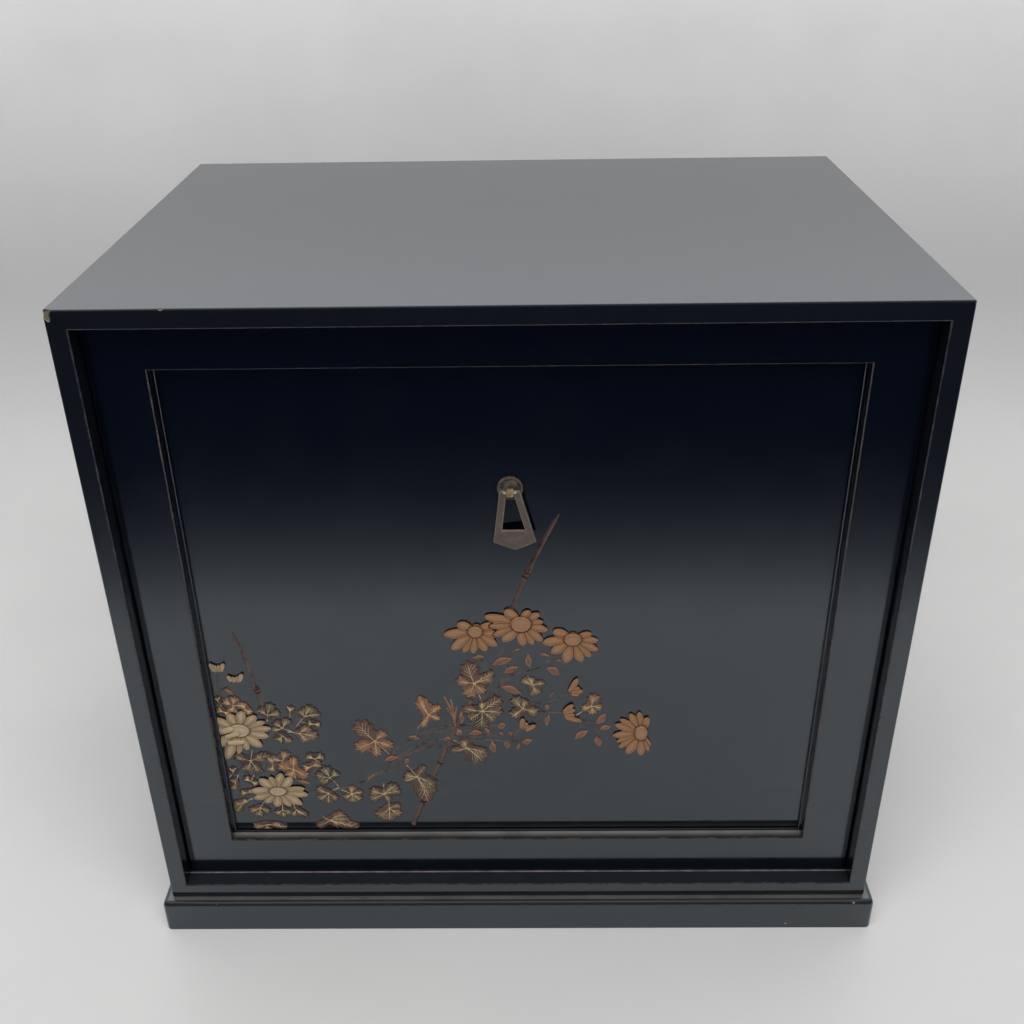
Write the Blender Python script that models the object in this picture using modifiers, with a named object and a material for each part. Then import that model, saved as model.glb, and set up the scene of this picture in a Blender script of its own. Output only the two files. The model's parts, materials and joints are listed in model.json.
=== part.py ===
"""A black-lacquered tea cabinet on a low plinth, with a lift-out door and one hanging pull.

Metres, +Z up. The origin is at the middle of the underside, and the door faces -Y. The door's
panel carries a spray of chrysanthemums: leaves, stems and bamboo are lacquer built up on the
panel, and the blooms and buds are carved pieces let into shallow pockets.
"""

import math

import bmesh
import bpy
from mathutils import Vector

MM = 0.001

# Finishes: colour, roughness and metallic value
LACQUER = ((0.010, 0.011, 0.013), 0.18, 0.0)
TAN = ((0.43, 0.25, 0.12), 0.45, 0.0)
CREAM = ((0.52, 0.40, 0.23), 0.45, 0.0)
BRONZE = ((0.12, 0.10, 0.075), 0.45, 1.0)
BRASS = ((0.45, 0.34, 0.16), 0.35, 1.0)

# Overall case and its boards
CASE_WIDTH = 0.380
CASE_DEPTH = 0.264
CASE_HEIGHT = 0.3385
SIDE_THICKNESS = 0.009
TOP_THICKNESS = 0.009
BOTTOM_THICKNESS = 0.009
BACK_THICKNESS = 0.006
BACK_SETBACK = 0.003
JOINT_GAP = 0.0003
CASE_EDGE_RADIUS = 0.0008
EDGE_SEGMENTS = 2
SHARP_ANGLE = math.radians(40)

# Plinth under the case
PLINTH_HEIGHT = 0.0197
PLINTH_OVERHANG = 0.005
PLINTH_RAIL = 0.018
PLINTH_EDGE_RADIUS = 0.002

# Lift-out door: a frame round a panel, with a tongue above and below
DOOR_SETBACK = 0.0095
DOOR_THICKNESS = 0.015
DOOR_SIDE_GAP = 0.0005
STILE_WIDTH = 0.0258
TOP_RAIL_HEIGHT = 0.0196
BOTTOM_RAIL_HEIGHT = 0.0239
REVEAL_DEPTH = 0.0068
BEAD_SIZE = 0.0016
BEAD_ROUNDING = 0.0005
DOOR_EDGE_RADIUS = 0.0006
PANEL_THICKNESS = 0.0055
PANEL_HOUSING = 0.004
TONGUE_THICKNESS = 0.005
LOWER_TONGUE = 0.0018
UPPER_TONGUE = 0.0048
TONGUE_CLEARANCE = 0.0003
LIFT_SPARE = 0.0004

# Wear on the top board: a broken corner and a nick in the left edge
CORNER_CHIP_RADIUS = 0.0034
EDGE_NICK_RADIUS = 0.0022
EDGE_NICK_FROM_FRONT = 0.139
FLAKE_PROPORTIONS = (1.0, 1.3, 0.7)
FLAKE_TURN = (0.3, 0.2, 0.5)

# Pull: a round plate, an eye on a shank through it, and the drop on its pin
PULL_ACROSS = -0.0002
PIVOT_BELOW_DOOR_TOP = 0.0820
PLATE_RADIUS = 0.0059
PLATE_THICKNESS = 0.0012
PLATE_ROUNDING = 0.0006
PLATE_RISE = 0.0008
EYE_RADIUS = 0.0024
EYE_WIDTH = 0.003
SHANK_RADIUS = 0.001
SHANK_IN_PANEL = 0.004
PIN_RADIUS = 0.0006
PIN_CLEARANCE = 0.0003
DROP_THICKNESS = 0.0015
DROP_EDGE = 0.0002
DROP_ARM_GAP = 0.0005
DROP_TOP_HALF_WIDTH = 0.0049
DROP_ARM_ABOVE_PIN = 0.0012
DROP_THROAT_DEPTH = 0.0019
DROP_OPENING_BOTTOM_HALF_WIDTH = 0.00545
DROP_OPENING_DEPTH = 0.0194
DROP_CORNER_DEPTH = 0.0256
DROP_CORNER_HALF_WIDTH = 0.01005
DROP_LENGTH = 0.0298
DROP_LEAN = math.radians(-4.4)
DROP_YAW = math.radians(-7.0)
ROUND_SIDES = 24
SMALL_SIDES = 16

# Relief: how far each kind stands above the panel, and how far it is let into it
LEAF_RIM = 0.0005
LEAF_CROWN = 0.0011
LEAFLET_RIM = 0.0004
LEAFLET_CROWN = 0.0008
RELIEF_FOOT = 0.0008
HEIGHT_STEP = 0.00003
LEAF_SINUS = 0.60
LEAF_BASE = 0.72
STEM_RADIUS = 0.0006
STEM_SINK = 0.0001
INLAY_DEPTH = 0.0007
INLAY_CLEARANCE = 0.0003
PETAL_RIM = 0.0005
PETAL_VALLEY = 0.0007
PETAL_RIDGE = 0.0015
DISC_FOOT = 0.0008
DISC_CENTRE = 0.0019
BUD_RIM = 0.0006
BUD_CROWN = 0.0013
CUTTER_REACH = 0.006

# The spray is drawn in millimetres on a sheet whose lower left corner lies on the panel's:
# this is where that corner is on the sheet.
SHEET_CORNER = (-154.7, 53.2)

# Blooms: node name, disc middle, disc half-width and half-height, and the tip of each petal
BLOOMS = (
    ("bloom_upper_left", TAN, (-18.5, 186.0), (3.6, 3.2),
     ((-34, 184.5), (-27, 191.3), (-17, 190.6), (-9, 190.5), (-7, 184), (-8, 177.5),
      (-13.5, 174.5), (-20, 173.2), (-24.5, 173.8), (-30.5, 175.5))),
    ("bloom_upper_middle", TAN, (4.0, 190.5), (5.0, 4.4),
     ((-13.5, 195.5), (-3.5, 199.3), (8, 198.8), (13, 197), (15, 192), (17, 187), (14.5, 180.5),
      (10, 178.3), (5, 177.8), (-5, 180.3), (-9.5, 184), (-11.5, 189.5))),
    ("bloom_upper_right", TAN, (29.5, 181.0), (4.2, 3.5),
     ((20, 186.7), (14.5, 179.5), (19, 173), (26, 167), (34, 167.5), (38.5, 170.5),
      (42, 174.5), (42, 180.5), (38.5, 184.8), (29.5, 185.4))),
    ("bloom_right", TAN, (65.5, 121.5), (3.4, 4.6),
     ((64, 135.5), (68.5, 132), (69.3, 122), (71, 113), (70, 109.5), (66, 106.5),
      (58.7, 107.5), (54.5, 112), (53, 115.8), (51, 120), (52, 127.5), (54.5, 131),
      (59.5, 134.5))),
    ("bloom_left_high", CREAM, (-143.0, 124.5), (5.5, 4.0),
     ((-140, 137.5), (-147, 136), (-156, 133), (-161, 125), (-158, 113), (-152, 105.5),
      (-145, 109), (-140, 111.5), (-132.5, 113.5), (-128, 120.5), (-126, 126),
      (-129, 130.5), (-133, 134.5))),
    ("bloom_left_low", CREAM, (-127.5, 82.5), (4.5, 2.7),
     ((-136.5, 91.5), (-130.5, 93), (-124.5, 95.5), (-119, 92.5), (-113, 84.5), (-111.5, 80),
      (-115.5, 73), (-122, 72), (-129, 71.5), (-135, 74.5), (-141, 77.5), (-142, 83))),
)

# Buds: node name, middle, width, height and turn in degrees
BUDS = (
    ("bud_left_high", CREAM, (-148.8, 165.5), 7.0, 6.0, 0.0),
    ("bud_left_low", CREAM, (-140.3, 158.2), 7.6, 5.4, -20.0),
    ("bud_right_high", TAN, (30.8, 151.5), 7.5, 8.0, 25.0),
    ("bud_right_middle", TAN, (29.0, 134.8), 10.5, 6.0, 105.0),
    ("bud_right_low", TAN, (6.0, 127.0), 8.5, 6.0, -30.0),
)

# Lobed leaves: middle, length, width, and the way the tip points in degrees from +X
LEAVES = (
    (-75, 118, 24, 19, 125), (-44.5, 136, 22, 13, 95), (-19, 155, 23, 18, 100),
    (-16, 136.5, 17, 19, 270), (4, 138, 15, 13, 340), (10, 152.5, 12, 11, 270),
    (40, 140, 14, 11, 70), (-22.5, 108.5, 19, 13, 315), (-50, 87, 26, 15, 280),
    (-70, 74.5, 26, 17, 268), (-88, 80, 13, 11, 310), (-100, 80, 16, 13, 235),
    (-99, 93, 15, 13, 120), (-126, 137, 14, 12, 70), (-115, 136.5, 8, 5, 85),
    (-106, 136, 14, 11, 40), (-103, 128.5, 10, 8, 350), (-120, 127, 12, 10, 60),
    (-109, 122.5, 13, 10, 350), (-119, 117, 11, 9, 300), (-117, 98, 17, 14, 100),
    (-106, 104, 12, 12, 60), (-140, 102, 19, 18, 260), (-149, 95, 11, 7, 70),
    (-147, 73, 12, 9, 215), (-139, 68, 12, 11, 240), (-127, 67, 10, 9, 270),
    (-118, 67, 12, 10, 300), (-136, 57.5, 16, 9, 0), (-98, 60.5, 21, 12, 350),
    (-145, 143.5, 12, 11, 100), (-151, 138, 9, 8, 150), (-137.5, 139, 10, 8, 60),
)

# Small pointed leaves: middle, length, width and turn
LEAFLETS = (
    (-17.5, 170.5, 6, 2.5, 170), (-5.5, 168, 11, 5, 35), (1.5, 174.5, 4.5, 1.5, 5),
    (7.5, 168, 9, 3.5, 110), (-1, 162.5, 8, 4, 10), (-1, 150, 12, 5, 350),
    (15.5, 171.5, 5.5, 2, 325), (20.5, 161.5, 8, 5, 340), (22.5, 168, 3.5, 1.5, 340),
    (19, 146.5, 4, 1.5, 90), (17, 138.5, 3.5, 3, 60), (17, 130.5, 8, 3, 95),
    (-20.5, 122, 7, 4, 170), (-14, 123, 4.5, 2.5, 310), (-6.5, 126.5, 4.5, 4.5, 0),
    (-7, 121.3, 3, 2, 140), (-2.3, 121.5, 3.5, 2, 110), (-11.5, 112.5, 8.5, 3.8, 115),
    (-4, 114, 5, 3.5, 90), (1.8, 112.5, 4.5, 2, 100), (6.5, 115.8, 5, 4.5, 0),
    (34.5, 120.5, 9, 4.5, 55), (45, 130.8, 8, 4.5, 40), (47, 125, 6, 3.5, 35),
    (43.5, 116, 7, 4.5, 90), (-28.5, 122, 3.5, 3.5, 0), (-22.5, 142.5, 4, 3, 60),
    (-52, 119, 6, 3, 0), (-35, 118, 4, 3, 0), (-65, 105, 8, 3.5, 30), (-57, 103, 4, 3, 40),
    (-77, 92, 7, 2, 65), (-27, 132, 9, 3, 75), (-145, 149.5, 6, 2.5, 155),
    (-113, 88.5, 8, 2.5, 330), (-112, 66, 4, 3.5, 0),
)

# Stems, as the points each runs through
STEMS = (
    ((-95, 83), (-80, 88), (-70, 96), (-60, 107), (-50, 111), (-35, 113), (-28, 116)),
    ((-62, 111), (-55, 117.5), (-45, 122), (-35, 124), (-20, 128)),
    ((-78, 92.5), (-68, 95), (-60, 99)),
    ((-50, 112), (-46, 118), (-40, 122)),
    ((-51, 120), (-50, 125)),
    ((-65, 107), (-62, 109)),
    ((-17, 143), (-13, 149), (-10, 158), (-8, 168), (-4, 176)),
    ((-20, 128), (-17, 134), (-14, 142), (-7, 153), (-1, 159), (7, 161.5), (14, 164)),
    ((-7, 153), (-5, 158), (-3, 165)),
    ((8, 140), (14, 142), (20, 142), (27, 147)),
    ((12, 137), (18, 134.5), (25, 135)),
    ((31, 132), (38, 128.5), (42, 123)),
    ((-28, 116), (-12, 117), (0, 115.5), (4, 116)),
    ((-21, 128), (-29, 126.5), (-35, 124)),
    ((-1, 118), (1, 122), (4, 125)),
    ((16, 167), (19, 169)),
    ((-151, 140), (-150, 151), (-149.5, 160)),
    ((-150, 150), (-145, 153), (-142, 155.5)),
    ((-131, 118), (-124, 124), (-112, 131), (-106, 134)),
    ((-131, 118), (-126, 128), (-126, 133)),
)

# Bamboo poles, each as straight lengths between nodes: points with a half-width in millimetres
POLES = (
    ((22, 252, 0.6), (14, 235, 1.1), (7.5, 220, 1.7)),
    ((6.2, 217, 1.4), (-0.7, 199, 1.5)),
    ((-22.5, 144, 1.4), (-36.5, 110, 1.5), (-39, 103.5, 1.6)),
    ((-39.8, 100.5, 1.7), (-43.5, 92, 1.5)),
    ((-50, 74, 1.5), (-56, 58, 1.7)),
    ((-138, 185.5, 0.6), (-135, 175, 0.9), (-131.3, 151, 1.4)),
    ((-129.6, 148.6, 1.3), (-129, 140, 1.4)),
)
POLE_SINK = 0.6

# Straw tie: its splayed ends and the bound stalk, with a half-width in millimetres
STRAWS = (
    ((-35.5, 145.5, 0.5), (-33, 139, 0.6), (-31, 133, 0.7)),
    ((-32.2, 144, 0.5), (-31.5, 138, 0.6), (-31, 132.5, 0.7)),
    ((-34.6, 138.5, 0.4), (-32.5, 135, 0.5), (-31.2, 131.5, 0.6)),
    ((-31, 134, 0.9), (-30.8, 128, 0.9), (-30, 124, 0.7)),
)

# Places that follow from the sizes above. Front surfaces are named by their depth along Y.
CASE_BASE = PLINTH_HEIGHT + JOINT_GAP
CASE_TOP = CASE_BASE + CASE_HEIGHT
CASE_FRONT = -CASE_DEPTH / 2
CASE_BACK = CASE_DEPTH / 2
INNER_SIDE = CASE_WIDTH / 2 - SIDE_THICKNESS
INNER_FLOOR = CASE_BASE + BOTTOM_THICKNESS
INNER_CEILING = CASE_TOP - TOP_THICKNESS

LOWER_GROOVE = LOWER_TONGUE + TONGUE_CLEARANCE
DOOR_TOP_GAP = LOWER_TONGUE + LIFT_SPARE
UPPER_GROOVE = UPPER_TONGUE + TONGUE_CLEARANCE
DOOR_FRONT = CASE_FRONT + DOOR_SETBACK
DOOR_BACK = DOOR_FRONT + DOOR_THICKNESS
DOOR_SIDE = INNER_SIDE - DOOR_SIDE_GAP
DOOR_BOTTOM = INNER_FLOOR + TONGUE_CLEARANCE
DOOR_TOP = INNER_CEILING - DOOR_TOP_GAP
TONGUE_FRONT = DOOR_FRONT + (DOOR_THICKNESS - TONGUE_THICKNESS) / 2
TONGUE_BACK = TONGUE_FRONT + TONGUE_THICKNESS

SIGHT_SIDE = DOOR_SIDE - STILE_WIDTH
SIGHT_BOTTOM = DOOR_BOTTOM + BOTTOM_RAIL_HEIGHT
SIGHT_TOP = DOOR_TOP - TOP_RAIL_HEIGHT
FIELD = DOOR_FRONT + REVEAL_DEPTH
PANEL_BACK = FIELD + PANEL_THICKNESS
BEAD_BACK = FIELD - JOINT_GAP
BEAD_FRONT = BEAD_BACK - BEAD_SIZE

PIVOT_ACROSS = PULL_ACROSS
PIVOT_UP = DOOR_TOP - PIVOT_BELOW_DOOR_TOP
PLATE_BACK = FIELD - JOINT_GAP
PLATE_FRONT = PLATE_BACK - PLATE_THICKNESS
PIVOT_FRONT = PLATE_FRONT - JOINT_GAP - EYE_RADIUS


def make_collection(name):
    """A new collection linked to the scene."""
    collection = bpy.data.collections.new(name)
    bpy.context.scene.collection.children.link(collection)
    return collection


def clear_scene():
    """Remove the objects that a new file starts with."""
    for item in list(bpy.data.objects):
        bpy.data.objects.remove(item, do_unlink=True)


def finish(item, look):
    """Give an object a material of its own, in one of the finishes."""
    colour, roughness, metallic = look
    material = bpy.data.materials.new(item.name)
    material.use_nodes = True
    shader = material.node_tree.nodes["Principled BSDF"]
    shader.inputs["Base Color"].default_value = (*colour, 1.0)
    shader.inputs["Roughness"].default_value = roughness
    shader.inputs["Metallic"].default_value = metallic
    material.diffuse_color = (*colour, 1.0)
    item.data.materials.clear()
    item.data.materials.append(material)
    return item


def add_object(name, mesh, collection):
    """An object for a mesh, in the given collection."""
    item = bpy.data.objects.new(name, mesh)
    collection.objects.link(item)
    if collection is CUTTERS:
        item.hide_render = True
        item.display_type = "WIRE"
    return item


def mesh_from(name, form):
    """Turn a finished bmesh into a mesh whose faces point out."""
    bmesh.ops.recalc_face_normals(form, faces=form.faces)
    mesh = bpy.data.meshes.new(name)
    form.to_mesh(mesh)
    form.free()
    return mesh


def block(name, low, high, collection):
    """A box between two corners, with its origin at its middle."""
    low, high = Vector(low), Vector(high)
    form = bmesh.new()
    bmesh.ops.create_cube(form, size=1.0)
    bmesh.ops.scale(form, vec=high - low, verts=form.verts)
    item = add_object(name, mesh_from(name, form), collection)
    item.location = (low + high) / 2
    return item


def rounded(item, radius, segments):
    """Round an object's sharp edges."""
    bevel = item.modifiers.new("rounded edges", "BEVEL")
    bevel.width = radius
    bevel.segments = segments
    bevel.limit_method = "ANGLE"
    bevel.angle_limit = SHARP_ANGLE
    return item


def combine(item, operation, operand):
    """Join to, cut from or keep within another object, or every object of a collection."""
    boolean = item.modifiers.new(operation.lower(), "BOOLEAN")
    boolean.operation = operation
    boolean.solver = "EXACT"
    if isinstance(operand, bpy.types.Collection):
        boolean.operand_type = "COLLECTION"
        boolean.collection = operand
    else:
        boolean.object = operand
    return item


def cylinder(name, radius, start, end, collection, sides=ROUND_SIDES):
    """A round bar between two points."""
    start, end = Vector(start), Vector(end)
    form = bmesh.new()
    bmesh.ops.create_cone(form, cap_ends=True, segments=sides, radius1=radius, radius2=radius,
                          depth=(end - start).length)
    item = add_object(name, mesh_from(name, form), collection)
    item.location = (start + end) / 2
    item.rotation_mode = "QUATERNION"
    item.rotation_quaternion = (end - start).to_track_quat("Z", "Y")
    return item


def mesh_of_curve(name, curve, collection):
    """Make a curve object's evaluated shape a welded mesh object in its place."""
    source = bpy.data.objects.new(name + "_curve", curve)
    collection.objects.link(source)
    graph = bpy.context.evaluated_depsgraph_get()
    mesh = bpy.data.meshes.new_from_object(source.evaluated_get(graph))
    bpy.data.objects.remove(source, do_unlink=True)
    form = bmesh.new()
    form.from_mesh(mesh)
    bmesh.ops.remove_doubles(form, verts=form.verts, dist=0.01 * MM)
    bpy.data.meshes.remove(mesh)
    return add_object(name, mesh_from(name, form), collection)


def on_field(across, up, height=0.0):
    """A point of the spray's sheet, on the panel's face or standing above it."""
    return Vector((-SIGHT_SIDE + (across - SHEET_CORNER[0]) * MM,
                   FIELD - height,
                   SIGHT_BOTTOM + (up - SHEET_CORNER[1]) * MM))


def raised(name, outline, foot, rim, crown, collection):
    """A low form on the panel: an outline with upright sides and a crowned top.

    The outline is a list of places on the sheet. foot is how far it is let into the panel, rim
    and crown are how far its edge and its middle stand above the panel.
    """
    form = bmesh.new()
    face = form.faces.new([form.verts.new(on_field(*place, -foot)) for place in outline])
    drawn = bmesh.ops.extrude_face_region(form, geom=[face])["geom"]
    top = [item for item in drawn if isinstance(item, bmesh.types.BMVert)]
    bmesh.ops.translate(form, vec=(0, -(foot + rim), 0), verts=top)
    cap = [item for item in drawn if isinstance(item, bmesh.types.BMFace)]
    if crown > rim:
        middle = bmesh.ops.poke(form, faces=cap)["verts"]
        bmesh.ops.translate(form, vec=(0, rim - crown, 0), verts=middle)
    return add_object(name, mesh_from(name, form), collection)


def turned(places, middle, degrees):
    """Turn places drawn round (0, 0) and set them round a middle on the sheet."""
    turn = math.radians(degrees)
    return [(middle[0] + x * math.cos(turn) - y * math.sin(turn),
             middle[1] + x * math.sin(turn) + y * math.cos(turn)) for x, y in places]


def lobed_leaf(length, width):
    """A five-lobed leaf pointing along +X, as places round its middle."""
    lobe_half_angle = 9
    half = []
    for angle, reach, sinus in ((0, 1.0, 27), (52, 0.96, 86), (116, 0.90, 152)):
        if angle:
            half.append((angle - lobe_half_angle, reach))
        half.append((angle + lobe_half_angle, reach))
        half.append((sinus, LEAF_SINUS))
    polar = half + [(180, LEAF_BASE)] + [(-angle, reach) for angle, reach in reversed(half)]
    return [(length / 2 * reach * math.cos(math.radians(angle)),
             width / 2 * reach * math.sin(math.radians(angle))) for angle, reach in polar]


def pointed_leaf(length, width):
    """A small plain leaf, round at one end and pointed at the other."""
    upper = [(length * x, width * y) for x, y in ((0.5, 0.0), (0.16, 0.43), (-0.28, 0.45))]
    return upper + [(-length / 2, 0.0)] + [(x, -y) for x, y in reversed(upper[1:])]


def bud_outline(width, height):
    """A half-open bud: a rounded cup whose mouth dips between two petal tips."""
    mouth = [(-0.5, 0.5), (-0.3, 0.32), (-0.05, 0.22), (0.22, 0.33), (0.47, 0.5)]
    cup = [(0.42, 0.05), (0.28, -0.35), (0.05, -0.5), (-0.22, -0.42), (-0.44, -0.05)]
    return [(width * x, height * y) for x, y in mouth + cup]


def bloom_spokes(middle, disc, tips):
    """Spokes of a bloom, counter-clockwise: (direction, disc reach, petal reach, on a ridge)."""
    valley_share = 0.74
    shoulder_share = 0.94
    shoulder_turn = 0.45

    def disc_reach(angle):
        return 1 / math.hypot(math.cos(angle) / disc[0], math.sin(angle) / disc[1])

    polar = sorted((math.atan2(up - middle[1], across - middle[0]),
                    math.hypot(across - middle[0], up - middle[1])) for across, up in tips)
    spokes = []
    for index, (angle, reach) in enumerate(polar):
        after_angle, after_reach = polar[(index + 1) % len(polar)]
        before_angle = polar[index - 1][0]
        after = (after_angle - angle) % math.tau / 2
        before = (angle - before_angle) % math.tau / 2
        valley = valley_share * (reach + after_reach) / 2
        for direction, length, ridge in (
                (angle - before * shoulder_turn, reach * shoulder_share, 0.6),
                (angle, reach, 1.0),
                (angle + after * shoulder_turn, reach * shoulder_share, 0.6),
                (angle + after, min(valley, reach, after_reach), 0.0)):
            inner = disc_reach(direction)
            spokes.append((direction, inner, max(length, inner * 1.15), ridge))
    return spokes


def bloom_outline(middle, spokes):
    """The places that the petals reach to."""
    return [(middle[0] + reach * math.cos(angle), middle[1] + reach * math.sin(angle))
            for angle, _, reach, _ in spokes]


def grown(outline, margin):
    """An outline moved outwards by a margin in metres."""
    result = []
    count = len(outline)
    area = sum(outline[i - 1][0] * outline[i][1] - outline[i][0] * outline[i - 1][1]
               for i in range(count))
    outward = margin / MM * (1 if area > 0 else -1)
    for index, place in enumerate(outline):
        here = Vector(place)
        before = (here - Vector(outline[index - 1])).normalized()
        after = (Vector(outline[(index + 1) % count]) - here).normalized()
        first = Vector((before.y, -before.x))
        second = Vector((after.y, -after.x))
        spread = max(1 + first.dot(second), 0.5)
        result.append(tuple(here + (first + second) / spread * outward))
    return result


def bloom(name, middle, spokes, collection):
    """A carved bloom: rings of points from the disc's middle out to the petals' edge."""
    petal_middle_share = 0.5
    rings = []
    for share, low, high in ((0.0, DISC_FOOT, DISC_FOOT),
                             (petal_middle_share, PETAL_VALLEY, PETAL_RIDGE),
                             (1.0, PETAL_RIM, PETAL_RIM),
                             (1.0, -INLAY_DEPTH, -INLAY_DEPTH)):
        ring = []
        for angle, inner, outer, ridge in spokes:
            reach = inner + (outer - inner) * share
            height = low + (high - low) * ridge
            ring.append((middle[0] + reach * math.cos(angle),
                         middle[1] + reach * math.sin(angle), height))
        rings.append(ring)
    form = bmesh.new()
    loops = [[form.verts.new(on_field(*place)) for place in ring] for ring in rings]
    crown = form.verts.new(on_field(*middle, DISC_CENTRE))
    count = len(spokes)
    for index in range(count):
        after = (index + 1) % count
        form.faces.new((crown, loops[0][index], loops[0][after]))
        for inner, outer in zip(loops, loops[1:]):
            form.faces.new((inner[index], outer[index], outer[after], inner[after]))
    form.faces.new(loops[-1])
    return add_object(name, mesh_from(name, form), collection)


def passes_field(outline, margin):
    """True where an outline passes the edge of the visible field less a margin."""
    low, high = field_corners(margin)
    places = [on_field(*place) for place in outline]
    return any(p.x < low[0] or p.x > high[0] or p.z < low[2] or p.z > high[2] for p in places)


def field_corners(margin):
    """Corners of the space in front of the field, inside the frame's bead by a margin."""
    inset = BEAD_SIZE + margin
    return ((-SIGHT_SIDE + inset, FIELD - CUTTER_REACH, SIGHT_BOTTOM + inset),
            (SIGHT_SIDE - inset, FIELD + CUTTER_REACH, SIGHT_TOP - inset))


def make_case():
    """Top, bottom, sides and back, with the door's grooves and the worn places."""
    low = (-CASE_WIDTH / 2, CASE_FRONT, CASE_BASE)
    high = (CASE_WIDTH / 2, CASE_BACK, CASE_TOP)
    top = slice_of_box("top_board", low, high, CASE_EDGE_RADIUS,
                       (low[0], low[1], INNER_CEILING), high)
    bottom = slice_of_box("bottom_board", low, high, CASE_EDGE_RADIUS,
                          low, (high[0], high[1], INNER_FLOOR))
    side_low = INNER_FLOOR + JOINT_GAP
    side_high = INNER_CEILING - JOINT_GAP
    slice_of_box("side_left", low, high, CASE_EDGE_RADIUS,
                 (low[0], low[1], side_low), (-INNER_SIDE, high[1], side_high))
    slice_of_box("side_right", low, high, CASE_EDGE_RADIUS,
                 (INNER_SIDE, low[1], side_low), (high[0], high[1], side_high))
    back_outer = CASE_BACK - BACK_SETBACK
    back_side = INNER_SIDE - JOINT_GAP
    finish(block("back_board", (-back_side, back_outer - BACK_THICKNESS, side_low),
                 (back_side, back_outer, side_high), PARTS), LACQUER)

    groove_front = TONGUE_FRONT - TONGUE_CLEARANCE
    groove_back = TONGUE_BACK + TONGUE_CLEARANCE
    combine(top, "DIFFERENCE", block(
        "upper_groove", (-INNER_SIDE, groove_front, INNER_CEILING - CUTTER_REACH),
        (INNER_SIDE, groove_back, INNER_CEILING + UPPER_GROOVE), CUTTERS))
    combine(bottom, "DIFFERENCE", block(
        "lower_groove", (-INNER_SIDE, groove_front, INNER_FLOOR - LOWER_GROOVE),
        (INNER_SIDE, groove_back, INNER_FLOOR + CUTTER_REACH), CUTTERS))
    wear(top, "corner_chip", (-CASE_WIDTH / 2, CASE_FRONT, CASE_TOP), CORNER_CHIP_RADIUS)
    wear(top, "edge_nick", (-CASE_WIDTH / 2, CASE_FRONT + EDGE_NICK_FROM_FRONT, CASE_TOP),
         EDGE_NICK_RADIUS)


def slice_of_box(name, low, high, radius, slice_low, slice_high):
    """One board of a box that was rounded as a whole: what lies between two corners."""
    board = finish(rounded(block(name, low, high, PARTS), radius, EDGE_SEGMENTS), LACQUER)
    overcut = 2 * radius
    reach_low = [a - overcut if a == b else a for a, b in zip(slice_low, low)]
    reach_high = [a + overcut if a == b else a for a, b in zip(slice_high, high)]
    return combine(board, "INTERSECT", block(name + "_slice", reach_low, reach_high, CUTTERS))


def wear(board, name, place, radius):
    """A flake broken out of a board's edge: a flattened faceted ball centred on the edge."""
    form = bmesh.new()
    bmesh.ops.create_icosphere(form, subdivisions=1, radius=radius)
    bmesh.ops.scale(form, vec=FLAKE_PROPORTIONS, verts=form.verts)
    flake = add_object(name, mesh_from(name, form), CUTTERS)
    flake.location = place
    flake.rotation_euler = FLAKE_TURN
    combine(board, "DIFFERENCE", flake)


def make_plinth():
    """Four rails in a ring: the front and back ones run the full width."""
    half_width = CASE_WIDTH / 2 + PLINTH_OVERHANG
    half_depth = CASE_DEPTH / 2 + PLINTH_OVERHANG
    inner_x = half_width - PLINTH_RAIL
    inner_y = half_depth - PLINTH_RAIL
    side_y = inner_y - JOINT_GAP
    low = (-half_width, -half_depth, 0.0)
    high = (half_width, half_depth, PLINTH_HEIGHT)
    for name, slice_low, slice_high in (
            ("plinth_front", low[:2], (half_width, -inner_y)),
            ("plinth_back", (-half_width, inner_y), high[:2]),
            ("plinth_left", (-half_width, -side_y), (-inner_x, side_y)),
            ("plinth_right", (inner_x, -side_y), (half_width, side_y))):
        slice_of_box(name, low, high, PLINTH_EDGE_RADIUS,
                     (*slice_low, low[2]), (*slice_high, high[2]))


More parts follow.
